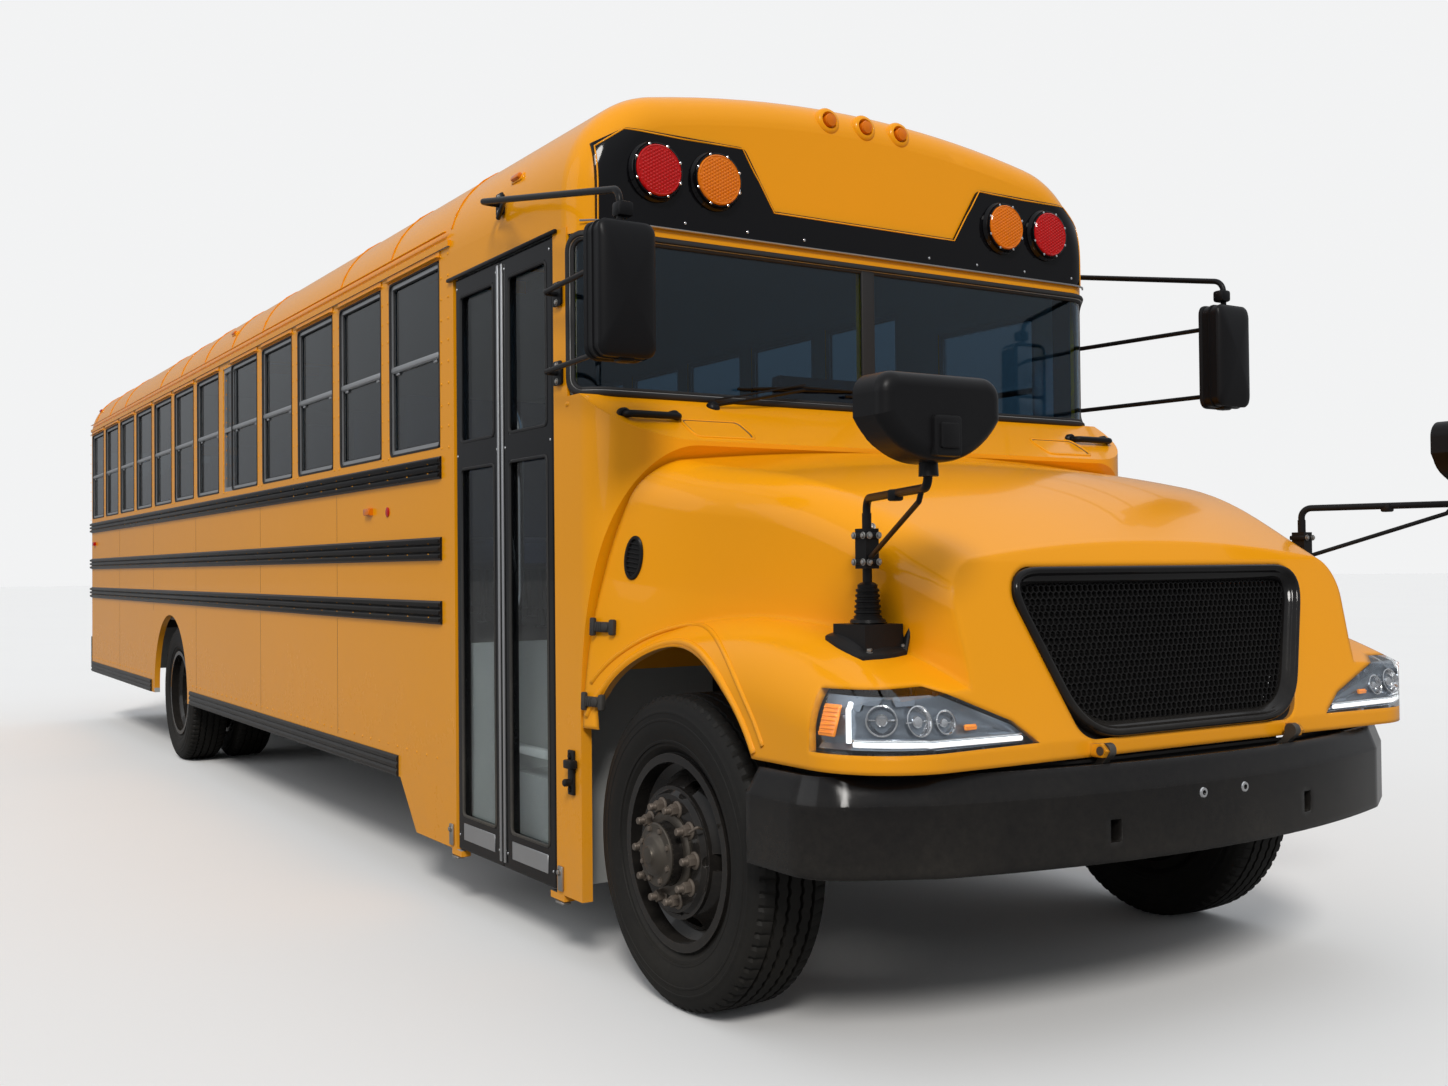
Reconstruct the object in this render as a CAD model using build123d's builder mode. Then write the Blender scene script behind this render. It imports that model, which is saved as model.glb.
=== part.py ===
from build123d import *
import os
from math import atan2, cos, degrees, radians, sin, sqrt

os.makedirs("parts", exist_ok=True)

# Millimetres. +X is forward, +Y is the driver's side (left), +Z is up, and the ground is z = 0.
# Lengths along the bus are given from the front axle, forward positive, and moved by front_axle_x.

# Wheels and axles
wheelbase = 7010
wheel_radius = 478
tyre_width = 262
tread_width = 208
rim_radius = 298
rim_width = 230
bead_radius = 286
front_wheel_y = 1045
kingpin_y = 905
rear_wheel_y = 1040
dual_spacing = 322
running_gap = 0.3
hub_bore = 46
hub_radius = 96
drum_radius = 200
bead_half = 100
well_radius = 250
disc_sheet = 14
disc_radius = 178
front_dish = 128
hand_holes = 5
hand_hole = 26
hand_hole_radius = 205
stud_circle = 285.75
stud_count = 10
kingpin_radius = 22

# Cabin shell
body_width = 2438
wall = 39
roof_top = 3085
roof_shoulder = 2930
roof_corner = 400
header_z = 2640
skirt_z = 445
body_front = -490
rear_overhang = 3445
front_corner = 130
floor_z = 1050
floor_thickness = 50
sill_count = 14
sill_pitch = 620
drip_proud = 11
drip_height = 24
cut_front = 400
seam_gap = 0.3

# Passenger windows, from the one behind the door
window_count = 12
window_front = -1745
window_pitch = 711
window_width = 600
wide_window = 5
wide_extra = 217
window_low = 1840
window_high = 2605
sash = 26
sash_depth = 22
pane = 6

# Driver's window
driver_window_front = -800
driver_window_width = 640
driver_window_low = 1780
driver_window_high = 2450

# Entrance door
door_front = -689
door_rear = -1597
door_low = 235
door_high = 2480
door_gap = 6
leaf_thickness = 36
door_stile = 62
mid_rail_low = 1740
mid_rail_high = 1840
kick_high = 375
pivot_radius = 9
bracket_low = 212
step_depth = 560
step_rises = 3
step_sheet = 30
drop_front = 445
drop_rear = 640

# Windshield
windshield_low = 1925
windshield_high = 2475
windshield_rear = -585
glass = 8
cowl_corner = 290
cowl_gap = 12

# Hood, nose and fenders
hood_skin = 24
hood_seam_radius = 1523
hood_rear_z = 1740
hood_foot_flare = 35
hood_foot_drop = 260
hood_brow = 880
nose_front = 1000
nose_low = 815
nose_corner = 255
face_step = 50
fender_half = 1190
firewall_sheet = 30
# Hood sections along the bus: x, half width, crown height, shoulder radius, drop from crown to shoulder
hood_sections = [
    (-540, 1195, 1830, 150, 75),
    (-330, 1150, 1780, 150, 72),
    (-130, 1078, 1728, 150, 68),
    (250, 1000, 1668, 140, 65),
    (620, 912, 1535, 135, 60),
    (900, 838, 1385, 120, 50),
    (1010, 800, 1325, 110, 45),
]
# Fender sections in the same columns
fender_sections = [
    (-540, 1190, 1150, 200, 30),
    (0, 1190, 1215, 220, 40),
    (450, 1190, 1210, 220, 45),
    (800, 1190, 1120, 190, 50),
    (1010, 1190, 1010, 110, 45),
]
arch_radius = 540
arch_z = 560
hood_hinge_x = 1035
hood_hinge_z = 835
hood_hinge_y = 400
hinge_pin = 12
hinge_eye = 20
ear_half = 12

# Grille
grille_top_half = 660
grille_low_half = 455
grille_top_z = 1335
grille_low_z = 862
grille_corner = 80
grille_frame = 46
grille_cell = 62
grille_web = 8
grille_depth = 14
grille_columns = 22
grille_rows = 10

# Headlamps
headlamp_inner = 620
headlamp_knee = 960
headlamp_low = 868
headlamp_high = 1022
headlamp_rear = 745

# Front bumper
bumper_front = 1100
bumper_end = 500
bumper_half = 1226
bumper_low = 540
bumper_high = 800
bumper_sheet = 46
bumper_ledge = 728
bumper_bow_x = 960
bumper_bow_y = 940
bumper_side_x = 800
bumper_corner = 170
plate_spacing = 178
plate_hole = 6.5
plate_z = 700
tow_slot_y = 413
tow_slot_z = 624
tow_slot_width = 38
tow_slot_height = 62

# Rear bumper
rear_bumper_depth = 120
rear_bumper_low = 480
rear_bumper_high = 760

# Chassis
rail_y = 430
rail_width = 70
rail_low = 660
rail_high = 920
rail_front = 930
rail_web = 9
crossmember = 60
crossmember_count = 7
leaf_width = 76
leaf_stack = 40
leaf_half_span = 620
tank_rear = -4600
tank_front = -3350
tank_outer = 1090
tank_low = 470
tank_high = 890
tank_corner = 55
silencer_radius = 130
silencer_front = -2325
silencer_rear = -3475
tail_pipe_radius = 50
tail_pipe_rear = -6100
exhaust_z = 720
exhaust_hangers = [-4100, -5000, -5900]
engine_rear = -300
engine_front = 520
engine_half = 300
engine_high = 1330
gearbox_rear = -1150
gearbox_half = 170
gearbox_high = 800
radiator_half = 375
radiator_high = 1290
radiator_depth = 85

# Lamps
lamp_radius = 92
lamp_z = 2702
red_lamp_y = 930
amber_lamp_y = 686
panel_outer = 1150
rear_panel_outer = 1110
panel_low = 2512
panel_high = 2842
panel_band_high = 2630
panel_inner_top = 560
panel_inner_low = 430
panel_thickness = 10
lamp_depth = 26
clearance_lamps = [-170, 0, 170]
clearance_z = 3006
tail_lamp_y = 930
brake_lamp_z = 1590
turn_lamp_z = 1340
tail_lamp_radius = 88
side_marker_x = -2621
side_marker_z = 1610

# Mirrors
crossover_x = 1197
crossover_y = 1159
crossover_z = 1683
crossover_width = 370
crossover_height = 205
crossover_depth = 110
crossover_base_x = 690
crossover_base_y = 949
crossover_collar = 1287
crossover_box = (1334, 1443)
crossover_arm_z = 1525
mirror_x = 62
mirror_y = 1362
mirror_z = 2158
mirror_width = 190
mirror_height = 400
mirror_depth = 84
mirror_tube = 11

# Ribbed rub rails: low edge, high edge
rub_rail_heights = [(1713, 1804), (1381, 1476), (1121, 1216)]
rub_rail_front = -1732
rail_proud = 12
skirt_rail_height = 92

# Stop arm
stop_arm_x = -2060
stop_arm_z = 1555
stop_arm_size = 450
stop_pin = 8
stop_barrel = 88

# Rear emergency door
emergency_half = 360
emergency_low = 1060
emergency_high = 2560
rear_window_high = 2480
strap_heights = [1300, 1800, 2350]
strap_height = 60
strap_pin = 7

# Roof hatches
hatch_centres = [-3900, -8150]
hatch_size = 640
hatch_curb = 16
hatch_pin = 5
hatch_arm_y = 210
hatch_arm_half = 20
hatch_lug_step = 32
lug_half = 11.7

# Seats
seat_rows = 11
seat_pitch = 735
seat_first = -2350
seat_width = 940
bench_height = 430
bench_back = 1080
bench_depth = 430
driver_seat_x = -1620
driver_seat_width = 520
driver_seat_height = 470
driver_seat_back = 1180
driver_seat_depth = 460
driver_y = 620
steering_x = -1010
steering_z = 1790
dash_high = 1880

# Worked out from the sizes above
front_reach = crossover_x + crossover_depth / 2
rear_face = -(wheelbase + rear_overhang)
rear_reach = -rear_face + rear_bumper_depth
front_axle_x = (rear_reach - front_reach) / 2
half_width = body_width / 2
rail_outer = rail_y + rail_width / 2
inner_half = half_width - wall
rear_axle_x = -wheelbase
rear_wheel_inner_y = rear_wheel_y - dual_spacing
hatch_hinge_z = roof_top + hatch_curb + 10
hatch_hinge_ahead = hatch_size / 2 + 28
stop_hinge_x = stop_arm_x + 290
stop_hinge_y = half_width + 30
strap_x = rear_face - 14
strap_y = -emergency_half - 12
cap_low = door_high + 20
cap_rear = door_rear - 30
door_middle = (door_front + door_rear) / 2
leaf_outer = -(half_width - 4)
leaf_inner = leaf_outer + leaf_thickness
leaf_y = (leaf_outer + leaf_inner) / 2
leaf_low = door_low + 10
leaf_high = cap_low - 10
# Each leaf: hinge edge, meeting edge, and the way from the hinge to the meeting edge
door_leaves = {
    "front": (door_front - door_gap, door_middle + 4, -1),
    "rear": (door_rear + door_gap, door_middle - 4, 1),
}
door_pivots = {name: edge + toward * leaf_thickness / 2 for name, (edge, inner, toward) in door_leaves.items()}


def ahead(distance):
    """Row position of a length measured from the front axle."""
    return front_axle_x + distance


def span_box(x_span, y_span, z_span, mode=Mode.ADD):
    """Box between two ends along each axis, x measured from the front axle."""
    middle = (ahead(sum(x_span) / 2), sum(y_span) / 2, sum(z_span) / 2)
    with Locations(middle):
        Box(abs(x_span[1] - x_span[0]), abs(y_span[1] - y_span[0]), abs(z_span[1] - z_span[0]), mode=mode)


def cross_tube(x, y_span, z, radius, mode=Mode.ADD):
    """Round bar along Y."""
    with Locations(Location((ahead(x), sum(y_span) / 2, z), (90, 0, 0))):
        Cylinder(radius, abs(y_span[1] - y_span[0]), mode=mode)


def finish(builder, label):
    """Label a piece and write it."""
    builder.part.label = label
    export_step(builder.part, "parts/" + label + ".step")


def windows():
    """Front edge and width of each passenger window, from the door rearwards."""
    front = window_front
    for number in range(1, window_count + 1):
        width = window_width + (wide_extra if number == wide_window else 0)
        yield front, width
        front -= window_pitch + (wide_extra if number == wide_window else 0)


def cabin_section(x, inset, low):
    """Cross-section of the cabin, inset from the outer skin, from low up to the crown."""
    half = half_width - inset
    with BuildSketch(Plane.YZ.offset(ahead(x))) as section:
        with BuildLine():
            Polyline((half, roof_shoulder - inset), (half, low), (-half, low), (-half, roof_shoulder - inset))
            ThreePointArc((-half, roof_shoulder - inset), (0, roof_top - inset), (half, roof_shoulder - inset))
        make_face()
        fillet(section.vertices().group_by(Axis.Y)[-1], radius=roof_corner - inset)
    return section.sketch


def cabin_solid(x_rear, x_front, inset, low, front_round=0):
    """Solid with the cabin's cross-section, its front edge rounded where asked."""
    with BuildPart() as solid:
        extrude(cabin_section(x_rear, inset, floor_z), amount=x_front - x_rear)
        if front_round:
            front = solid.faces().sort_by(Axis.X)[-1]
            fillet(front.edges().filter_by(lambda edge: edge.center().Z > floor_z + 1), radius=front_round)
        split(bisect_by=Plane.XY.offset(low), keep=Keep.TOP)
    return solid.part


def front_plan(offset_out):
    """Plan of the cab's front: straight sides, round corners and a flat face, moved out by an offset."""
    half = half_width + offset_out
    front = ahead(body_front) + offset_out
    rear = ahead(door_front)
    with BuildSketch() as plan:
        with BuildLine():
            Polyline((rear, -half), (front, -half), (front, half), (rear, half), close=True)
        make_face()
        fillet(plan.vertices().group_by(Axis.X)[-1], radius=front_corner + offset_out)
    return plan.sketch


def cab_shell(x_rear, outer, thickness, low, high):
    """Vertical shell that follows the cab's front in plan, from x_rear forward."""
    with BuildPart() as shell:
        extrude(Plane.XY.offset(low) * front_plan(outer), amount=high - low)
        extrude(Plane.XY.offset(low) * front_plan(outer - thickness), amount=high - low, mode=Mode.SUBTRACT)
        split(bisect_by=Plane.YZ.offset(ahead(x_rear)), keep=Keep.TOP)
    return shell.part


# Frame rails, with their crossmembers and the hood's hinge pins
with BuildPart() as frame_rails:
    rail_rear = rear_face + 60
    for side in (-1, 1):
        outer = side * rail_outer
        inner = side * (rail_outer - rail_width)
        span_box((rail_rear, rail_front), (outer, inner), (rail_low, rail_high))
        web_inner = outer - side * rail_web
        span_box((rail_rear, rail_front), (web_inner, inner), (rail_low + rail_web, rail_high - rail_web),
                 mode=Mode.SUBTRACT)
        ear_y = side * hood_hinge_y
        ear_top = nose_low - 15
        with BuildSketch(Plane.XZ.offset(-ear_y)) as ear:
            with BuildLine():
                Polyline((ahead(rail_front - 60), ear_top - 55), (ahead(rail_front - 60), ear_top),
                         (ahead(hood_hinge_x - 33), ear_top), (ahead(hood_hinge_x - 18), hood_hinge_z - 5),
                         (ahead(hood_hinge_x + 13), hood_hinge_z - 15), (ahead(hood_hinge_x - 15), ear_top - 5),
                         (ahead(hood_hinge_x - 35), ear_top - 55), close=True)
            make_face()
        extrude(ear.sketch, amount=ear_half, both=True)
        cross_tube(hood_hinge_x, (ear_y - ear_half, ear_y + ear_half), hood_hinge_z, hinge_eye)
        cross_tube(hood_hinge_x, (ear_y - side * ear_half, ear_y + side * 32), hood_hinge_z, hinge_pin)
    cross_spacing = (rail_front - 120 - (rail_rear + 200)) / (crossmember_count - 1)
    for number in range(crossmember_count):
        cross_x = rail_rear + 200 + number * cross_spacing
        if abs(cross_x) > 350:
            span_box((cross_x - 30, cross_x + 30), (rail_web - rail_outer, rail_outer - rail_web),
                     (rail_high - 110, rail_high - 40))
    span_box((rail_front - crossmember, rail_front), (-rail_outer, rail_outer), (rail_low, rail_high))
finish(frame_rails, "frame_rails")


def leaf_spring(x, y, low_z, half_span):
    """Leaf spring pack, bowed down from the rail's underside to the axle."""
    with BuildSketch(Plane.XZ.offset(-(y - leaf_width / 2))) as profile:
        with BuildLine():
            top = ThreePointArc((ahead(x - half_span), rail_low - seam_gap), (ahead(x), low_z + leaf_stack),
                                (ahead(x + half_span), rail_low - seam_gap))
            Line(top @ 1, (ahead(x + half_span), rail_low - leaf_stack))
            ThreePointArc((ahead(x + half_span), rail_low - leaf_stack), (ahead(x), low_z),
                          (ahead(x - half_span), rail_low - leaf_stack))
            Line((ahead(x - half_span), rail_low - leaf_stack), top @ 0)
        make_face()
    extrude(profile.sketch, amount=-leaf_width)


# Front axle: dropped beam, leaf springs and the kingpin eyes
beam_low = wheel_radius - 100
beam_high = wheel_radius - 10
with BuildPart() as front_axle_beam:
    span_box((-45, 45), (-kingpin_y + 125, kingpin_y - 125), (beam_low, beam_high))
    for side in (-1, 1):
        with Locations((ahead(0), side * kingpin_y, wheel_radius)):
            Cylinder(50, 120)
        span_box((-38, 38), (side * (kingpin_y - 200), side * (kingpin_y - 25)),
                 (wheel_radius - 50, wheel_radius + 50))
        leaf_spring(0, side * rail_y, beam_high - 15, leaf_half_span)
        with Locations((ahead(0), side * kingpin_y, wheel_radius)):
            Cylinder(kingpin_radius + running_gap, 130, mode=Mode.SUBTRACT)
finish(front_axle_beam, "front_axle_beam")

# Rear axle: housing, spindles, springs and the propeller shaft
rear_spindle_end = rear_wheel_y - 40
with BuildPart() as rear_axle:
    cross_tube(rear_axle_x, (-rear_wheel_inner_y + 150, rear_wheel_inner_y - 150), wheel_radius, 68)
    cross_tube(rear_axle_x, (-rear_spindle_end, rear_spindle_end), wheel_radius, hub_bore - running_gap)
    with Locations((ahead(rear_axle_x), 0, wheel_radius)):
        Sphere(190)
    for side in (-1, 1):
        leaf_spring(rear_axle_x, side * rail_y, wheel_radius + 60, leaf_half_span)
    shaft_front = gearbox_rear - seam_gap
    with Locations(Location((ahead((shaft_front + rear_axle_x) / 2), 0, wheel_radius + 120), (0, 90, 0))):
        Cylinder(48, shaft_front - rear_axle_x)
finish(rear_axle, "rear_axle")

# Engine as a plain block, with the gearbox behind it and the radiator ahead
sump_z = wheel_radius + 125
with BuildPart() as engine_block:
    span_box((engine_rear, engine_front), (-engine_half, engine_half), (sump_z, engine_high))
    span_box((gearbox_rear, engine_rear + 1), (-gearbox_half, gearbox_half), (sump_z, gearbox_high))
    radiator_front = rail_front - crossmember - 90 - seam_gap
    span_box((radiator_front - radiator_depth, radiator_front), (-radiator_half, radiator_half),
             (rail_low, radiator_high))
finish(engine_block, "engine_block")

# Fuel tank outside the right rail
with BuildPart() as fuel_tank:
    span_box((tank_rear, tank_front), (-tank_outer, -rail_outer - seam_gap), (tank_low, tank_high))
    fillet(fuel_tank.edges().filter_by(Axis.X), radius=tank_corner)
finish(fuel_tank, "fuel_tank")

# Exhaust: silencer and tail pipe along the left rail
with BuildPart() as exhaust:
    exhaust_y = rail_outer + seam_gap + silencer_radius
    with Locations(Location((ahead((silencer_front + silencer_rear) / 2), exhaust_y, exhaust_z), (0, 90, 0))):
        Cylinder(silencer_radius, silencer_front - silencer_rear)
    with Locations(Location((ahead((silencer_rear + tail_pipe_rear) / 2), exhaust_y, exhaust_z), (0, 90, 0))):
        Cylinder(tail_pipe_radius, silencer_rear - tail_pipe_rear)
    for x in exhaust_hangers:
        span_box((x - 20, x + 20), (rail_outer + seam_gap, exhaust_y), (exhaust_z - 20, exhaust_z + 20))
finish(exhaust, "exhaust")

# Floor with its sills, cut out for the step well behind the door
well_outer = -(inner_half - 8)
step_inner = well_outer + step_depth
floor_front = hood_hinge_x - hood_seam_radius - cowl_gap - firewall_sheet - seam_gap
well_rear = door_rear + 4
well_front = door_front - 4
step_rise = (floor_z - leaf_low - step_sheet) / step_rises
step_run = step_depth / step_rises
with BuildPart() as floor:
    span_box((rear_face + wall, well_rear), (-inner_half, inner_half), (floor_z - floor_thickness, floor_z))
    span_box((well_rear, floor_front), (step_inner, inner_half), (floor_z - floor_thickness, floor_z))
    span_box((well_front, floor_front), (-inner_half, step_inner), (floor_z - floor_thickness, floor_z))
    for number in range(sill_count):
        sill_x = rear_face + 160 + number * sill_pitch
        near_rear_wheel = abs(sill_x - rear_axle_x) < wheel_radius + 80
        reach = rail_outer if near_rear_wheel else inner_half - 20
        span_box((sill_x - 25, sill_x + 25), (-reach, reach), (rail_high, floor_z - floor_thickness))
finish(floor, "floor")

# Entrance steps: treads and risers between two side plates
with BuildPart() as entrance_steps:
    for number in range(step_rises):
        tread_z = leaf_low + number * step_rise
        tread_outer = well_outer + number * step_run
        tread_inner = tread_outer + step_run
        riser_high = min(tread_z + step_rise + step_sheet, floor_z - floor_thickness)
        span_box((well_rear, well_front), (tread_outer, tread_inner), (tread_z, tread_z + step_sheet))
        span_box((well_rear, well_front), (tread_inner, tread_inner + step_sheet), (tread_z, riser_high))
    for edge in (well_rear, well_front - step_sheet):
        span_box((edge, edge + step_sheet), (well_outer, step_inner), (door_low + 10, floor_z))
finish(entrance_steps, "entrance_steps")


def window_openings(side):
    """Cut the passenger windows through a side wall."""
    for front, width in windows():
        span_box((front - width, front), (side * (half_width + 20), side * (inner_half - 20)),
                 (window_low, window_high), mode=Mode.SUBTRACT)


def wheel_arch(side):
    """Cut the rear wheel arch through a side wall."""
    through_wall = (side * (half_width + 20), side * (inner_half - 20))
    cross_tube(rear_axle_x, through_wall, wheel_radius, arch_radius + 20, mode=Mode.SUBTRACT)


wall_rear = rear_face + wall
# Right side wall, with the drop beside the step well
with BuildPart() as side_wall_right:
    with BuildSketch(Plane.XZ.offset(inner_half)):
        with BuildLine():
            Polyline((ahead(wall_rear), skirt_z), (ahead(door_rear - drop_rear), skirt_z),
                     (ahead(door_rear - drop_front), door_low), (ahead(door_rear), door_low),
                     (ahead(door_rear), cap_low), (ahead(cap_rear), cap_low), (ahead(cap_rear), header_z),
                     (ahead(wall_rear), header_z), close=True)
        make_face()
    extrude(amount=wall)
    window_openings(-1)
    wheel_arch(-1)
    span_box((door_rear - 45, door_rear + 50), (-half_width, -inner_half), (bracket_low, door_low))
    with Locations((ahead(door_pivots["rear"]), leaf_y, bracket_low)):
        Cylinder(pivot_radius + running_gap, 60, mode=Mode.SUBTRACT)
finish(side_wall_right, "side_wall_right")

# Left side wall, with the driver's window
with BuildPart() as side_wall_left:
    with BuildSketch(Plane.XZ.offset(-inner_half)):
        with BuildLine():
            Polyline((ahead(wall_rear), skirt_z), (ahead(door_front), skirt_z), (ahead(door_front), cap_low),
                     (ahead(cap_rear), cap_low), (ahead(cap_rear), header_z), (ahead(wall_rear), header_z),
                     close=True)
        make_face()
    extrude(amount=-wall)
    window_openings(1)
    wheel_arch(1)
    span_box((driver_window_front - driver_window_width, driver_window_front),
             (half_width + 20, inner_half - 20), (driver_window_low, driver_window_high), mode=Mode.SUBTRACT)
    for end in (-1, 1):
        lug_z = stop_arm_z + end * (stop_barrel / 2 + running_gap + 8)
        span_box((stop_hinge_x - 14, stop_hinge_x + 14), (half_width - 5, stop_hinge_y + 14),
                 (lug_z - 8, lug_z + 8))
    with Locations((ahead(stop_hinge_x), stop_hinge_y, stop_arm_z)):
        Cylinder(stop_pin, stop_barrel + 20)
finish(side_wall_left, "side_wall_left")

# Rear wall, with the emergency door's opening and four windows: inner edge, outer edge, low edge, high edge
rear_windows = [(430, 640, window_low, rear_window_high), (700, 1060, window_low, rear_window_high)]
with BuildPart() as rear_wall:
    extrude(cabin_section(rear_face, 0, skirt_z), amount=wall)
    rear_rim = rear_wall.faces().sort_by(Axis.X)[0].edges()
    fillet(rear_rim.filter_by(lambda edge: edge.center().Z > skirt_z + 1), radius=wall - 9)
    rear_cut = (rear_face - 10, wall_rear + 10)
    span_box(rear_cut, (-emergency_half, emergency_half), (emergency_low, emergency_high), mode=Mode.SUBTRACT)
    for side in (-1, 1):
        for low_y, high_y, low_z, high_z in rear_windows:
            span_box(rear_cut, (side * low_y, side * high_y), (low_z, high_z), mode=Mode.SUBTRACT)
    for height in strap_heights:
        for end in (-1, 1):
            lug_z = height + end * (strap_height / 2 + running_gap + 8)
            span_box((strap_x - 13, rear_face + 5), (strap_y - 13, strap_y + 8), (lug_z - 8, lug_z + 8))
        with Locations((ahead(strap_x), strap_y, height)):
            Cylinder(strap_pin, strap_height + 20)
finish(rear_wall, "rear_wall")

# Roof with drip ledges and hatch curbs
with BuildPart() as roof:
    add(cabin_solid(wall_rear, cap_rear, 0, header_z))
    add(cabin_solid(wall_rear - 1, cap_rear + 1, wall, header_z - 1), mode=Mode.SUBTRACT)
    for side in (-1, 1):
        span_box((wall_rear, cap_rear), (side * (half_width - 9), side * (half_width + drip_proud)),
                 (header_z, header_z + drip_height))
    for centre in hatch_centres:
        span_box((centre - hatch_size / 2, centre + hatch_size / 2), (-hatch_size / 2, hatch_size / 2),
                 (roof_top - 60, roof_top + hatch_curb))
        clear = hatch_size / 2 - 25
        span_box((centre - clear, centre + clear), (-clear, clear), (roof_top - 100, roof_top + 60),
                 mode=Mode.SUBTRACT)
        hinge_x = centre + hatch_hinge_ahead
        for side in (-1, 1):
            for lug_y in (side * (hatch_arm_y - hatch_lug_step), side * (hatch_arm_y + hatch_lug_step)):
                span_box((hinge_x - 9, hinge_x + 9), (lug_y - lug_half, lug_y + lug_half),
                         (roof_top - 30, hatch_hinge_z + 9))
            cross_tube(hinge_x, (side * (hatch_arm_y - hatch_lug_step), side * (hatch_arm_y + hatch_lug_step)),
                       hatch_hinge_z, hatch_pin)
finish(roof, "roof")

# Front cap: domed roof end over the door and windshield
with BuildPart() as front_cap:
    add(cabin_solid(cap_rear, body_front, 0, cap_low, front_corner))
    add(cabin_solid(cap_rear - 1, body_front - wall, wall, cap_low - 1, front_corner - wall),
        mode=Mode.SUBTRACT)
    for pivot in door_pivots.values():
        with Locations((ahead(pivot), leaf_y, cap_low)):
            Cylinder(pivot_radius + running_gap, 40, mode=Mode.SUBTRACT)
finish(front_cap, "front_cap")

# Cowl: the cab's lower front, its corner posts and the firewall
cowl_radius = hood_seam_radius + cowl_gap
cowl_front = hood_hinge_x - sqrt(cowl_radius ** 2 - (hood_rear_z - hood_hinge_z) ** 2)
cowl_foot_x = hood_hinge_x - cowl_radius
with BuildPart() as cowl_block:
    with BuildSketch(Plane.XY.offset(door_low)):
        with BuildLine():
            Polyline((ahead(door_front), -half_width), (ahead(cowl_front), -half_width),
                     (ahead(cowl_front), half_width), (ahead(door_front), half_width), close=True)
        make_face()
        fillet(vertices().group_by(Axis.X)[-1], radius=cowl_corner)
    extrude(amount=windshield_low - door_low)
    with BuildSketch(Plane.XZ) as slope:
        with BuildLine():
            Polyline((ahead(windshield_rear + 75), windshield_low + 10),
                     (ahead(cowl_front + 10), hood_rear_z + 10), (ahead(cut_front), hood_rear_z + 10),
                     (ahead(cut_front), windshield_low + 10), close=True)
        make_face()
    extrude(slope.sketch, amount=2000, both=True, mode=Mode.SUBTRACT)
with BuildPart() as firewall:
    cross_tube(hood_hinge_x, (-body_width, body_width), hood_hinge_z, cowl_radius + firewall_sheet)
    cross_tube(hood_hinge_x, (-body_width, body_width), hood_hinge_z, cowl_radius, mode=Mode.SUBTRACT)
    add(cowl_block.part, mode=Mode.INTERSECT)
with BuildPart() as cowl:
    add(cowl_block.part)
    add(offset(cowl_block.part, amount=-wall, mode=Mode.PRIVATE), mode=Mode.SUBTRACT)
    span_box((door_front - 10, windshield_rear - 60), (-inner_half, inner_half), (0, 3000), mode=Mode.SUBTRACT)
    cross_tube(hood_hinge_x, (-body_width, body_width), hood_hinge_z, cowl_radius, mode=Mode.SUBTRACT)
    span_box((cowl_foot_x, cut_front), (-body_width, body_width), (0, hood_hinge_z), mode=Mode.SUBTRACT)
    add(firewall.part)
    span_box((door_front - 10, cut_front), (-inner_half, inner_half), (0, floor_z - floor_thickness),
             mode=Mode.SUBTRACT)
    span_box((cowl_foot_x, cut_front), (-body_width, body_width), (0, hood_hinge_z), mode=Mode.SUBTRACT)
    for side in (-1, 1):
        span_box((door_front, windshield_rear), (side * half_width, side * inner_half), (door_low, cap_low))
    add(cab_shell(windshield_rear, 0, wall, windshield_high, cap_low))
    span_box((body_front - glass - 30, body_front - 4), (-26, 26), (windshield_low - wall, cap_low))
    span_box((door_front - 52, windshield_rear - 50), (-half_width, -inner_half), (bracket_low, door_low))
    with Locations((ahead(door_pivots["front"]), leaf_y, bracket_low)):
        Cylinder(pivot_radius + running_gap, 60, mode=Mode.SUBTRACT)
finish(cowl, "cowl")

# Windshield
with BuildPart() as windshield_glass:
    add(cab_shell(windshield_rear + seam_gap, -5, glass, windshield_low + seam_gap, windshield_high - seam_gap))
    span_box((body_front - 60, body_front + 10), (-26 - seam_gap, 26 + seam_gap), (0, 4000), mode=Mode.SUBTRACT)
finish(windshield_glass, "windshield_glass")

# Side windows: every opening with its side, front edge, width, low and high edges
side_openings = [(1, driver_window_front, driver_window_width, driver_window_low, driver_window_high)]
for side in (-1, 1):
    side_openings += [(side, front, width, window_low, window_high) for front, width in windows()]
with BuildPart() as window_frames:
    for side, front, width, low_z, high_z in side_openings:
        outer_y = side * (half_width - 6)
        inner_y = side * (half_width - 6 - sash_depth)
        gap = seam_gap
        span_box((front - width + gap, front - gap), (outer_y, inner_y), (low_z + gap, high_z - gap))
        span_box((front - width + sash, front - sash), (outer_y, inner_y), (low_z + sash, high_z - sash),
                 mode=Mode.SUBTRACT)
        middle = (low_z + high_z) / 2
        span_box((front - width + sash, front - sash), (outer_y, side * (half_width - 18)),
                 (middle - sash / 2, middle + sash / 2))
finish(window_frames, "window_frames")

with BuildPart() as window_glass:
    for side, front, width, low_z, high_z in side_openings:
        pane_outer = side * (half_width - 18 - seam_gap)
        pane_inner = side * (half_width - 18 - seam_gap - pane)
        edge = sash + seam_gap
        span_box((front - width + edge, front - edge), (pane_outer, pane_inner), (low_z + edge, high_z - edge))
    for side in (-1, 1):
        for low_y, high_y, low_z, high_z in rear_windows:
            span_box((rear_face + 12, rear_face + 12 + pane),
                     (side * (low_y + seam_gap), side * (high_y - seam_gap)),
                     (low_z + seam_gap, high_z - seam_gap))
finish(window_glass, "window_glass")


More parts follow.
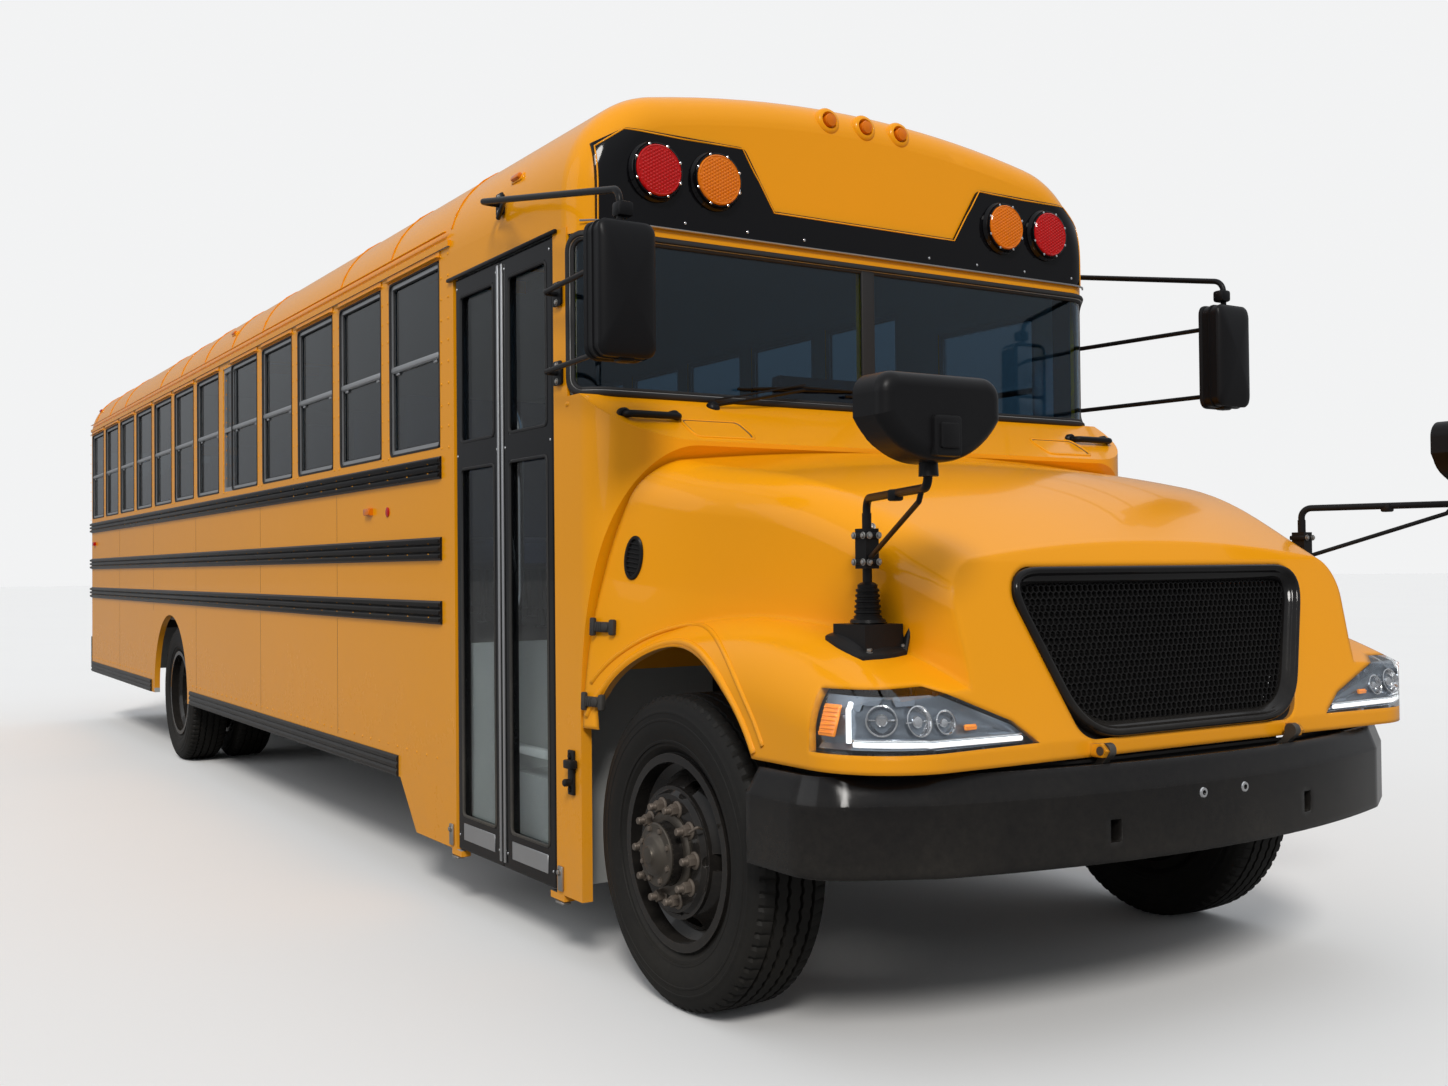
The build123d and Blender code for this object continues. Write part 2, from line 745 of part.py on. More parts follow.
def ribbed_rail(side, x_rear, x_front, low_z, high_z):
    """Rub rail with three ribs, lying on the side wall."""
    height = high_z - low_z
    ribs = 3
    with BuildSketch(Plane.YZ.offset(ahead(x_rear))) as profile:
        with BuildLine():
            points = [(side * half_width, low_z)]
            for rib in range(ribs):
                base = low_z + height * rib / ribs
                points.append((side * (half_width + rail_proud / 2), base))
                points.append((side * (half_width + rail_proud), base + height / ribs * 0.3))
                points.append((side * (half_width + rail_proud), base + height / ribs * 0.7))
            points.append((side * (half_width + rail_proud / 2), high_z))
            points.append((side * half_width, high_z))
            Polyline(*points, close=True)
        make_face()
    extrude(profile.sketch, amount=x_front - x_rear)


arch_clear = arch_radius + 120
with BuildPart() as rub_rails:
    for side in (-1, 1):
        front_end = rub_rail_front if side < 0 else door_front - 20
        for low_z, high_z in rub_rail_heights:
            ribbed_rail(side, rear_face + wall, front_end, low_z, high_z)
        ribbed_rail(side, rear_axle_x + arch_clear, door_rear - 660, skirt_z, skirt_z + skirt_rail_height)
        ribbed_rail(side, rear_face + wall, rear_axle_x - arch_clear, skirt_z, skirt_z + skirt_rail_height)
finish(rub_rails, "rub_rails")


def bumper_plan(inset):
    """Plan of the front bumper: bowed front, round corners and straight ends."""
    half = bumper_half - inset
    with BuildSketch() as plan:
        with BuildLine():
            bow = ThreePointArc((ahead(bumper_bow_x - inset), -bumper_bow_y), (ahead(bumper_front - inset), 0),
                                (ahead(bumper_bow_x - inset), bumper_bow_y))
            Polyline(bow @ 1, (ahead(bumper_side_x), half), (ahead(bumper_end), half),
                     (ahead(bumper_end), -half), (ahead(bumper_side_x), -half), bow @ 0)
        make_face()
        front_corners = plan.vertices().filter_by(lambda point: point.X > ahead(bumper_end) + 1)
        fillet(front_corners, radius=bumper_corner - inset)
    return plan.sketch


# Front bumper: wrap-around shell with a ledge on top, plate holes and tow slots
with BuildPart() as front_bumper:
    extrude(Plane.XY.offset(bumper_low) * bumper_plan(0), amount=bumper_ledge - bumper_low)
    extrude(Plane.XY.offset(bumper_ledge) * bumper_plan(0), amount=bumper_high - bumper_ledge, taper=20)
    extrude(bumper_plan(bumper_sheet), amount=2000, mode=Mode.SUBTRACT)
    span_box((0, bumper_end + 1), (-bumper_half + bumper_sheet, bumper_half - bumper_sheet), (0, 2000),
             mode=Mode.SUBTRACT)
    for side in (-1, 1):
        span_box((rail_front + seam_gap, bumper_bow_x + 75), (side * (rail_y - 30), side * (rail_y + 30)),
                 (rail_low + 12, rail_low + 78))
        with Locations(Location((ahead(bumper_front), side * plate_spacing / 2, plate_z), (0, 90, 0))):
            Cylinder(plate_hole, 200, mode=Mode.SUBTRACT)
        span_box((bumper_front - 150, bumper_front + 10),
                 (side * (tow_slot_y - tow_slot_width / 2), side * (tow_slot_y + tow_slot_width / 2)),
                 (tow_slot_z - tow_slot_height / 2, tow_slot_z + tow_slot_height / 2), mode=Mode.SUBTRACT)
finish(front_bumper, "front_bumper")

# Rear bumper
with BuildPart() as rear_bumper:
    span_box((rear_face - rear_bumper_depth, rear_face - seam_gap), (-half_width, half_width),
             (rear_bumper_low, rear_bumper_high))
    fillet(rear_bumper.edges().filter_by(Axis.Z).group_by(Axis.X)[0], radius=rear_bumper_depth - 30)
finish(rear_bumper, "rear_bumper")


# The leaning face of the nose, from its foot up to the brow
face_low_z = nose_low + face_step
face_top_z = grille_top_z + 15
face_lean = degrees(atan2(nose_front - hood_brow, face_top_z - face_low_z))
face_plane = Plane(origin=(ahead(nose_front), 0, face_low_z), x_dir=(0, 1, 0),
                   z_dir=(cos(radians(face_lean)), 0, sin(radians(face_lean))))


def arched_section(x, half, top, shoulder, drop, flare, inset):
    """Cross-section with a crowned top, round shoulders and sides that flare at the foot."""
    inner = half - inset
    crown = top - inset
    waist = nose_low + 0.5 * (top - nose_low)
    low = nose_low - hood_foot_drop
    with BuildSketch(Plane.YZ.offset(ahead(x))) as section:
        with BuildLine():
            Polyline((inner + flare, low), (inner, waist), (inner, crown - drop))
            ThreePointArc((inner, crown - drop), (0, crown), (-inner, crown - drop))
            Polyline((-inner, crown - drop), (-inner, waist), (-inner - flare, low), (inner + flare, low))
        make_face()
        fillet(section.vertices().group_by(Axis.Y)[-1], radius=shoulder - inset)
    return section.sketch


def nose_plan(inset):
    """Plan of the fenders and nose, with round front corners."""
    half = fender_half - inset
    rear = ahead(fender_sections[0][0] - 10)
    front = ahead(nose_front - inset)
    with BuildSketch() as plan:
        with BuildLine():
            Polyline((rear, -half), (front, -half), (front, half), (rear, half), close=True)
        make_face()
        fillet(plan.vertices().group_by(Axis.X)[-1], radius=nose_corner - inset)
    return plan.sketch


def hood_form(inset):
    """Hood and both fenders as one closed form, inset from the outer skin."""
    with BuildPart() as middle:
        loft([arched_section(*row, hood_foot_flare, inset) for row in hood_sections])
    with BuildPart() as fenders:
        loft([arched_section(*row, 0, inset) for row in fender_sections])
        extrude(nose_plan(inset), amount=2000, mode=Mode.INTERSECT)
    with BuildPart() as form:
        add(middle.part)
        add(fenders.part)
        with BuildSketch(Plane.XZ) as face_cut:
            with BuildLine():
                Polyline((ahead(nose_front - inset), 0), (ahead(nose_front - inset), face_low_z),
                         (ahead(hood_brow - inset), face_top_z),
                         (ahead(hood_brow - 60 - inset), face_top_z + 150),
                         (ahead(nose_front + 400), face_top_z + 150), (ahead(nose_front + 400), 0), close=True)
            make_face()
        extrude(face_cut.sketch, amount=2000, both=True, mode=Mode.SUBTRACT)
    return form.part


def grille_outline(grow):
    """Trapezoid of the grille on the leaning face, wide at the top."""
    low = (grille_low_z - face_low_z) / cos(radians(face_lean))
    high = (grille_top_z - face_low_z) / cos(radians(face_lean))
    with BuildSketch() as outline:
        with BuildLine():
            Polyline((-grille_low_half, low), (grille_low_half, low), (grille_top_half, high),
                     (-grille_top_half, high), close=True)
        make_face()
        fillet(outline.vertices(), radius=grille_corner)
        if grow:
            offset(amount=grow)
    return outline.sketch


def lamp_prism(side, grow):
    """Front view of a headlamp, as a prism along the bus."""
    with BuildPart() as prism:
        with BuildSketch(Plane.YZ.offset(ahead(headlamp_rear - grow))) as outline:
            with BuildLine():
                Polyline((side * headlamp_inner, headlamp_low), (side * (fender_half + 60), headlamp_low - 5),
                         (side * (fender_half + 60), headlamp_high), (side * headlamp_knee, headlamp_high + 8),
                         (side * (headlamp_inner + 80), headlamp_low + 60), close=True)
            make_face()
            if grow:
                offset(amount=grow)
        extrude(outline.sketch, amount=600)
    return prism.part


# Hood: one shell with both fenders and the nose
hood_skin_outer = hood_form(0)
with BuildPart() as hood:
    add(hood_skin_outer)
    add(hood_form(hood_skin), mode=Mode.SUBTRACT)
    cross_tube(0, (-fender_half - 10, fender_half + 10), arch_z, arch_radius, mode=Mode.SUBTRACT)
    span_box((-2000, 2000), (-fender_half - 100, fender_half + 100), (0, nose_low), mode=Mode.SUBTRACT)
    cross_tube(hood_hinge_x, (-body_width, body_width), hood_hinge_z, hood_seam_radius, mode=Mode.INTERSECT)
    extrude(face_plane * grille_outline(seam_gap), amount=120, both=True, mode=Mode.SUBTRACT)
    for side in (-1, 1):
        add(lamp_prism(side, seam_gap), mode=Mode.SUBTRACT)
    for side in (-1, 1):
        lug_y = side * hood_hinge_y
        with BuildSketch(Plane.XZ.offset(-(lug_y + side * (ear_half + 10)))) as lug:
            with BuildLine():
                Polyline((ahead(nose_front - 60), nose_low + 2), (ahead(nose_front - 14), nose_low + 2),
                         (ahead(hood_hinge_x + 8), hood_hinge_z - 18), (ahead(hood_hinge_x + 20), hood_hinge_z),
                         (ahead(hood_hinge_x), hood_hinge_z + 20), (ahead(nose_front - 14), grille_low_z - 12),
                         (ahead(nose_front - 60), grille_low_z - 12), close=True)
            make_face()
        extrude(lug.sketch, amount=-8, both=True)
        cross_tube(hood_hinge_x, (lug_y - 40, lug_y + 40), hood_hinge_z, hinge_pin + running_gap,
                   mode=Mode.SUBTRACT)
finish(hood, "hood")

# Grille: black surround with a honeycomb mesh
grille_middle = ((grille_low_z + grille_top_z) / 2 - face_low_z) / cos(radians(face_lean))
with BuildPart() as grille:
    extrude(face_plane * grille_outline(0), amount=-30)
    extrude(face_plane * grille_outline(0), amount=10)
    extrude(face_plane * grille_outline(-grille_frame), amount=60, both=True, mode=Mode.SUBTRACT)
    with BuildSketch() as mesh:
        add(grille_outline(-grille_frame + 1))
        with Locations((0, grille_middle)):
            with HexLocations(grille_cell / 2, grille_columns, grille_rows):
                RegularPolygon((grille_cell - grille_web) / 2, 6, major_radius=False, mode=Mode.SUBTRACT)
    extrude(face_plane.offset(-grille_depth - 12) * mesh.sketch, amount=grille_depth)
finish(grille, "grille")

# Headlamps: lens blocks that carry on the nose's skin
with BuildPart() as headlamps:
    with BuildPart(mode=Mode.PRIVATE) as lens_skin:
        add(hood_skin_outer)
        add(hood_form(hood_skin + 6), mode=Mode.SUBTRACT)
    for side in (-1, 1):
        add(lens_skin.part & lamp_prism(side, 0))
finish(headlamps, "headlamps")


def rounded_bar(points, radius, bend):
    """Round bar along straight runs joined by arcs."""
    with BuildPart() as bar:
        with BuildLine() as path:
            FilletPolyline(*points, radius=bend)
        with BuildSketch(Plane(origin=path.line @ 0, z_dir=path.line % 0)):
            Circle(radius)
        sweep()
    return bar.part


def post(x, y, low_z, high_z, radius):
    """Upright round post."""
    with Locations((ahead(x), y, (low_z + high_z) / 2)):
        Cylinder(radius, high_z - low_z)


# Crossover mirrors: each on a post that stands on a fender
post_foot = 1100
with BuildPart() as crossover_mirrors:
    for side in (-1, 1):
        base_y = side * crossover_base_y
        with Locations((ahead(crossover_base_x), base_y, post_foot + 30)):
            Box(140, 130, 110)
        post(crossover_base_x, base_y, post_foot, crossover_collar, 26)
        post(crossover_base_x, base_y, crossover_collar - 5, crossover_arm_z - 40, 13)
        span_box((crossover_base_x - 24, crossover_base_x + 24), (base_y - side * 22, base_y + side * 22),
                 crossover_box)
        arm_end_z = crossover_z - crossover_height / 2 + 40
        add(rounded_bar([(ahead(crossover_base_x), base_y, crossover_arm_z - 60),
                         (ahead(crossover_base_x), base_y, crossover_arm_z),
                         (ahead(crossover_x - 30), side * (crossover_y - 15), crossover_arm_z),
                         (ahead(crossover_x), side * crossover_y, arm_end_z)], 11, 32))
        add(rounded_bar([(ahead(crossover_base_x), base_y, crossover_box[0] + 20),
                         (ahead(crossover_x - 90), side * (crossover_y - 40), crossover_arm_z - 30),
                         (ahead(crossover_x - 66), side * (crossover_y - 30), crossover_arm_z)], 7, 6))
    with BuildPart(mode=Mode.PRIVATE) as skin_cut:
        add(hood_form(-seam_gap))
    add(skin_cut.part, mode=Mode.SUBTRACT)
    for side in (-1, 1):
        with BuildPart(mode=Mode.PRIVATE) as mirror_head:
            rear_x = ahead(crossover_x - crossover_depth / 2)
            head_middle = (rear_x, side * crossover_y, crossover_z)
            head_plane = Plane(origin=head_middle, x_dir=(0, 1, 0), z_dir=(1, 0, 0))
            with BuildSketch(head_plane) as shell:
                with BuildLine():
                    half = crossover_width / 2
                    high = crossover_height / 2
                    Polyline((-half, 0), (-half, high), (half, high), (half, 0))
                    ThreePointArc((half, 0), (0, -high), (-half, 0))
                make_face()
                fillet(shell.vertices().group_by(Axis.Y)[-1], radius=50)
            extrude(shell.sketch, amount=crossover_depth)
            fillet(mirror_head.faces().sort_by(Axis.X)[-1].edges(), radius=34)
        add(mirror_head.part)
finish(crossover_mirrors, "crossover_mirrors")

# Rear-view mirrors, carried on tubes from the cab's corners
upper_arm_z = cap_low + 190
with BuildPart() as rear_view_mirrors:
    for side in (-1, 1):
        with Locations((ahead(mirror_x), side * mirror_y, mirror_z)):
            Box(mirror_depth, mirror_width, mirror_height)
    fillet(rear_view_mirrors.edges().filter_by(Axis.X), radius=36)
    for side in (-1, 1):
        skin = side * (half_width + seam_gap)
        for x, z in ((-1110, upper_arm_z), (-636, mirror_z + 120), (-636, mirror_z - 150)):
            span_box((x - 24, x + 24), (skin, skin + side * 8), (z - 34, z + 34))
        add(rounded_bar([(ahead(-1110), skin + side * 4, upper_arm_z),
                         (ahead(-1110), side * (half_width + 90), upper_arm_z),
                         (ahead(mirror_x), side * mirror_y, cap_low - 40),
                         (ahead(mirror_x), side * mirror_y, mirror_z)], mirror_tube, 50))
        for z in (mirror_z + 120, mirror_z - 150):
            add(rounded_bar([(ahead(-636), skin + side * 4, z), (ahead(-636), side * (half_width + 60), z),
                             (ahead(mirror_x), side * (mirror_y - 20), z)], mirror_tube - 2, 30))
finish(rear_view_mirrors, "rear_view_mirrors")


# Warning lamp panels: one over the windshield and one over the rear windows
def warning_panel(face_x, depth, outer, mode=Mode.ADD):
    """Two end pods with slanted inner edges, joined by a band."""
    with BuildSketch(Plane.YZ.offset(face_x), mode=Mode.PRIVATE) as outline:
        with BuildLine():
            Polyline((-outer, panel_low), (outer, panel_low), (outer, panel_high - 60),
                     (outer - 110, panel_high), (panel_inner_top, panel_high),
                     (panel_inner_low, panel_band_high),
                     (-panel_inner_low, panel_band_high), (-panel_inner_top, panel_high),
                     (-outer + 110, panel_high), (-outer, panel_high - 60), close=True)
        make_face()
        fillet(outline.vertices().group_by(Axis.Y)[-1], radius=40)
    extrude(outline.sketch, amount=depth, mode=mode)


panel_face = ahead(body_front) + panel_thickness
with BuildPart() as front_panel:
    add(cabin_solid(cap_rear + 600, body_front + panel_thickness, -panel_thickness, cap_low,
                    front_corner + panel_thickness))
    add(cabin_solid(cap_rear + 500, body_front + seam_gap, -seam_gap, cap_low - 1, front_corner + seam_gap),
        mode=Mode.SUBTRACT)
    warning_panel(ahead(body_front) - 200, 300, panel_outer, mode=Mode.INTERSECT)
with BuildPart() as lamp_panels:
    add(front_panel.part)
    warning_panel(ahead(rear_face) - panel_thickness, panel_thickness - seam_gap, rear_panel_outer)
    span_box((rear_face - 50, rear_face + 50), (-emergency_half - 40, emergency_half + 40),
             (panel_low - 10, emergency_high + 12), mode=Mode.SUBTRACT)
finish(lamp_panels, "lamp_panels")


def round_lamp(x, y, z, radius, depth, facing):
    """Round lamp that stands on a surface facing forward or back."""
    with Locations(Location((x + facing * depth / 2, y, z), (0, 90, 0))):
        Cylinder(radius, depth)


def lamp_set(facing, y, z):
    """Pair of warning lamps on a panel."""
    face = panel_face + seam_gap if facing > 0 else ahead(rear_face) - panel_thickness - seam_gap
    for side in (-1, 1):
        round_lamp(face, side * y, z, lamp_radius, lamp_depth, facing)


def tail_lamp(side, z):
    """Round lamp on the rear wall."""
    round_lamp(ahead(rear_face) - seam_gap, side * tail_lamp_y, z, tail_lamp_radius, lamp_depth, -1)


def side_marker(x, z):
    """Small marker lamp on each side wall."""
    for side in (-1, 1):
        span_box((x - 40, x + 40), (side * (half_width + seam_gap), side * (half_width + 16)), (z - 16, z + 16))


with BuildPart() as red_lamps:
    for facing in (-1, 1):
        lamp_set(facing, red_lamp_y, lamp_z)
    for side in (-1, 1):
        tail_lamp(side, brake_lamp_z)
    side_marker(rear_face + 200, side_marker_z)
finish(red_lamps, "red_lamps")

with BuildPart() as amber_lamps:
    for y in clearance_lamps:
        round_lamp(ahead(body_front - 60), y, clearance_z, 22, 74, 1)
    add(cabin_solid(cap_rear + 500, body_front + seam_gap, -seam_gap, cap_low - 1, front_corner + seam_gap),
        mode=Mode.SUBTRACT)
    for facing in (-1, 1):
        lamp_set(facing, amber_lamp_y, lamp_z)
    for side in (-1, 1):
        tail_lamp(side, turn_lamp_z)
    side_marker(side_marker_x, side_marker_z)
finish(amber_lamps, "amber_lamps")

# Dashboard with the steering column and wheel
dash_left = inner_half - 30
with BuildPart() as dashboard:
    with BuildSketch(Plane.XZ.offset(-dash_left)) as dash:
        with BuildLine():
            Polyline((ahead(-600), floor_z + 430), (ahead(-600), dash_high - 20), (ahead(-640), dash_high),
                     (ahead(-760), dash_high), (ahead(-860), dash_high - 150), (ahead(-740), floor_z + 420),
                     close=True)
        make_face()
    extrude(dash.sketch, amount=dash_left - step_inner - 40)
    span_box((-700, -640), (-200, 1000), (floor_z, floor_z + 430))
    with Locations(Location((ahead(steering_x), driver_y, steering_z), (0, -55, 0))):
        Torus(215, 14)
        Cylinder(34, 30)
        with PolarLocations(110, 3):
            Box(205, 26, 14)
    with Locations(Location((ahead(steering_x + 105), driver_y, steering_z - 73), (0, -55, 0))):
        Cylinder(24, 250)
finish(dashboard, "dashboard")


def seat(x, y, width, base, height, depth):
    """Bench or chair: cushion, raked back and a foot on the floor."""
    with BuildSketch(Plane.XZ.offset(-(y + width / 2))) as profile:
        with BuildLine():
            Polyline((ahead(x + depth - 120), floor_z), (ahead(x + depth - 120), floor_z + base - 110),
                     (ahead(x + depth), floor_z + base - 90), (ahead(x + depth), floor_z + base),
                     (ahead(x + 90), floor_z + base - 10), (ahead(x + 10), floor_z + height),
                     (ahead(x - 70), floor_z + height), (ahead(x), floor_z + base - 120),
                     (ahead(x + 60), floor_z + base - 120), (ahead(x + 60), floor_z), close=True)
        make_face()
    extrude(profile.sketch, amount=width)


with BuildPart() as seats:
    for row in range(seat_rows):
        for side in (-1, 1):
            bench_y = side * (inner_half - 20 - seat_width / 2)
            seat(seat_first - row * seat_pitch, bench_y, seat_width, bench_height, bench_back, bench_depth)
    seat(driver_seat_x, driver_y, driver_seat_width, driver_seat_height, driver_seat_back, driver_seat_depth)
finish(seats, "seats")

# Entrance door: two leaves hinged at their outer edges
leaf_windows = [(kick_high, mid_rail_low), (mid_rail_high, leaf_high - 70)]
for name, (edge, inner, toward) in door_leaves.items():
    low_x, high_x = sorted((edge, inner))
    hinge_corners = -1 if toward < 0 else 0
    with BuildPart() as leaf:
        with BuildSketch(Plane.XY.offset(leaf_low)) as plan:
            with BuildLine():
                Polyline((ahead(low_x), leaf_outer), (ahead(high_x), leaf_outer), (ahead(high_x), leaf_inner),
                         (ahead(low_x), leaf_inner), close=True)
            make_face()
            fillet(plan.vertices().group_by(Axis.X)[hinge_corners], radius=leaf_thickness / 2 - 0.5)
        extrude(plan.sketch, amount=leaf_high - leaf_low)
        for low_z, high_z in leaf_windows:
            span_box((low_x + door_stile, high_x - door_stile), (leaf_y - 40, leaf_y + 40), (low_z, high_z),
                     mode=Mode.SUBTRACT)
        post(door_pivots[name], leaf_y, bracket_low + 3, leaf_low + 1, pivot_radius)
        post(door_pivots[name], leaf_y, leaf_high - 1, cap_low + 17, pivot_radius)
    finish(leaf, "door_leaf_" + name)
    with BuildPart() as leaf_glass:
        for low_z, high_z in leaf_windows:
            span_box((low_x + door_stile + seam_gap, high_x - door_stile - seam_gap), (leaf_y - 4, leaf_y + 4),
                     (low_z + seam_gap, high_z - seam_gap))
    finish(leaf_glass, "door_glass_" + name)

# Emergency door in the rear wall, with its straps on the right
emergency_gap = 8
emergency_windows = [(emergency_low + 130, 1640), (window_low, emergency_high - 90)]
glass_half = emergency_half - 90
with BuildPart() as emergency_door:
    span_box((rear_face + 1, rear_face + 1 + leaf_thickness),
             (-emergency_half + emergency_gap, emergency_half - emergency_gap),
             (emergency_low + emergency_gap, emergency_high - emergency_gap))
    for low_z, high_z in emergency_windows:
        span_box((rear_face - 50, rear_face + 90), (-glass_half, glass_half), (low_z, high_z),
                 mode=Mode.SUBTRACT)
    for height in strap_heights:
        strap_span = (height - strap_height / 2, height + strap_height / 2)
        span_box((rear_face - 22, rear_face - 6), (strap_y, -emergency_half + 62), strap_span)
        span_box((rear_face - 8, rear_face + 2), (-emergency_half + 20, -emergency_half + 62), strap_span)
        with Locations((ahead(strap_x), strap_y, height)):
            Cylinder(12, strap_height)
            Cylinder(strap_pin + running_gap, strap_height + 2, mode=Mode.SUBTRACT)
finish(emergency_door, "emergency_door")

with BuildPart() as emergency_glass:
    for low_z, high_z in emergency_windows:
        span_box((rear_face + 16, rear_face + 16 + pane), (-glass_half + seam_gap, glass_half - seam_gap),
                 (low_z + seam_gap, high_z - seam_gap))
finish(emergency_glass, "emergency_glass")

# Stop arm on the left wall: a blank octagon on a hinged bracket
with BuildPart() as stop_arm:
    with BuildSketch(Plane.XZ.offset(-(stop_hinge_y + 3))) as octagon:
        with Locations((ahead(stop_arm_x), stop_arm_z)):
            RegularPolygon(stop_arm_size / 2, 8, major_radius=False, rotation=22.5)
    extrude(octagon.sketch, amount=6)
    span_box((stop_arm_x, stop_hinge_x), (stop_hinge_y - 3, stop_hinge_y + 3),
             (stop_arm_z - 40, stop_arm_z + 40))
    with Locations((ahead(stop_hinge_x), stop_hinge_y, stop_arm_z)):
        Cylinder(14, stop_barrel)
        Cylinder(stop_pin + running_gap, stop_barrel + 2, mode=Mode.SUBTRACT)
finish(stop_arm, "stop_arm")

# Roof hatches
lid_half = hatch_size / 2 + 8
for name, centre in zip(("front", "rear"), hatch_centres):
    hinge_x = centre + hatch_hinge_ahead
    with BuildPart() as hatch:
        lid_low = roof_top + hatch_curb + seam_gap
        span_box((centre - lid_half, centre + lid_half), (-lid_half, lid_half), (lid_low, lid_low + 34))
        fillet(hatch.edges().group_by(Axis.Z)[-1], radius=14)
        for side in (-1, 1):
            arm = (side * (hatch_arm_y - hatch_arm_half), side * (hatch_arm_y + hatch_arm_half))
            span_box((hinge_x - 30, hinge_x + 9), arm, (lid_low, hatch_hinge_z + 10))
            cross_tube(hinge_x, arm, hatch_hinge_z, hatch_pin + running_gap, mode=Mode.SUBTRACT)
    finish(hatch, "roof_hatch_" + name)


def tyre_ring(x, y):
    """Tyre: tread, round shoulders and bulging walls, seated on its rim."""
    half_tread = tread_width / 2
    half_tyre = tyre_width / 2
    seat_r = bead_radius + running_gap
    wall_r = rim_radius + 3
    with BuildSketch(Plane(origin=(ahead(x), y, wheel_radius), x_dir=(0, 1, 0), z_dir=(1, 0, 0))) as profile:
        with BuildLine():
            Polyline((-bead_half, wall_r), (-bead_half, seat_r), (bead_half, seat_r), (bead_half, wall_r))
            for end in (-1, 1):
                Polyline((end * bead_half, wall_r), (end * (half_tyre - 8), bead_radius + 48),
                         (end * half_tyre, bead_radius + 92), (end * (half_tyre - 6), bead_radius + 132),
                         (end * (half_tread + 10), wheel_radius - 24), (end * half_tread, wheel_radius - 5),
                         (end * (half_tread - 24), wheel_radius))
            Line((half_tread - 24, wheel_radius), (24 - half_tread, wheel_radius))
        make_face()
    revolve(profile.sketch, axis=Axis((ahead(x), y, wheel_radius), (0, 1, 0)))


def rim_body(x, y, side, dish):
    """Disc wheel; the disc stands out (positive) or in (negative) from the rim's middle."""
    half = rim_width / 2
    flange = bead_half + running_gap
    seat_r = bead_radius
    turn = 1 if dish > 0 else -1
    back = dish - turn * disc_sheet
    across = Plane(origin=(ahead(x), y, wheel_radius), x_dir=(0, side, 0), z_dir=(side, 0, 0))
    with BuildSketch(across) as barrel:
        with BuildLine():
            Polyline((-half, rim_radius), (-flange, rim_radius), (-flange, seat_r), (-60, seat_r - 4),
                     (-40, well_radius), (40, well_radius), (60, seat_r - 4), (flange, seat_r),
                     (flange, rim_radius), (half, rim_radius), (half, seat_r - 14), (66, seat_r - 18),
                     (46, well_radius - 12), (-46, well_radius - 12), (-66, seat_r - 18), (-half, seat_r - 14),
                     close=True)
        make_face()
    with BuildSketch(across) as disc:
        with BuildLine():
            Polyline((turn * 20, well_radius - 6), (turn * 52, well_radius - 11), (dish, disc_radius),
                     (dish, hub_bore), (back, hub_bore), (back, disc_radius - 6), (turn * 34, well_radius - 22),
                     (turn * 20, well_radius - 20), close=True)
        make_face()
    wheel_axis = Axis((ahead(x), y, wheel_radius), (0, 1, 0))
    revolve(barrel.sketch, axis=wheel_axis)
    revolve(disc.sketch, axis=wheel_axis)
    with Locations(Location((ahead(x), y + side * dish / 2, wheel_radius), (90, 0, 0))):
        with PolarLocations(hand_hole_radius, hand_holes):
            Cylinder(hand_hole, abs(dish), mode=Mode.SUBTRACT)


def studs(x, y):
    """Ring of wheel studs with their nuts."""
    with Locations(Location((ahead(x), y, wheel_radius), (90, 0, 0))):
        with PolarLocations(stud_circle / 2, stud_count):
            Cylinder(15, 44)


spindle_end = front_wheel_y + 165
drum_inner_y = rear_wheel_inner_y - 70
for side, name in ((-1, "right"), (1, "left")):
    # Front knuckle: yoke over the axle's eye, kingpin and spindle
    with BuildPart() as knuckle:
        for end in (-1, 1):
            span_box((-50, 50), (side * (kingpin_y - 45), side * (kingpin_y + 92)),
                     (wheel_radius + end * (60 + running_gap), wheel_radius + end * 96))
        span_box((-50, 50), (side * (kingpin_y + 58), side * (kingpin_y + 92)),
                 (wheel_radius - 96, wheel_radius + 96))
        post(0, side * kingpin_y, wheel_radius - 90, wheel_radius + 90, kingpin_radius)
        cross_tube(0, (side * (kingpin_y + 80), side * spindle_end), wheel_radius, hub_bore - running_gap)
    finish(knuckle, "knuckle_" + name)

    with BuildPart() as tyre_front:
        tyre_ring(0, side * front_wheel_y)
    finish(tyre_front, "tyre_front_" + name)

    with BuildPart() as rim_front:
        rim_body(0, side * front_wheel_y, side, front_dish)
        disc_y = front_wheel_y + front_dish
        cross_tube(0, (side * (kingpin_y + 98), side * (disc_y - disc_sheet)), wheel_radius, drum_radius)
        cross_tube(0, (side * (disc_y - 5), side * (disc_y + 46)), wheel_radius, hub_radius)
        cross_tube(0, (side * (kingpin_y + 97), side * (spindle_end + running_gap)), wheel_radius, hub_bore,
                   mode=Mode.SUBTRACT)
        studs(0, side * disc_y)
    finish(rim_front, "rim_front_" + name)

    with BuildPart() as tyres_rear:
        for y in (rear_wheel_y, rear_wheel_inner_y):
            tyre_ring(rear_axle_x, side * y)
    finish(tyres_rear, "tyres_rear_" + name)

    with BuildPart() as rim_rear:
        middle = (rear_wheel_y + rear_wheel_inner_y) / 2
        rim_body(rear_axle_x, side * rear_wheel_y, side, -dual_spacing / 2)
        rim_body(rear_axle_x, side * rear_wheel_inner_y, side, dual_spacing / 2)
        cross_tube(rear_axle_x, (side * drum_inner_y, side * (middle - disc_sheet)), wheel_radius, drum_radius)
        cross_tube(rear_axle_x, (side * middle, side * (rear_spindle_end + 25)), wheel_radius, hub_radius)
        cross_tube(rear_axle_x, (side * (drum_inner_y - 1), side * (rear_spindle_end + running_gap)),
                   wheel_radius, hub_bore, mode=Mode.SUBTRACT)
        studs(rear_axle_x, side * (middle + disc_sheet))
    finish(rim_rear, "rim_rear_" + name)
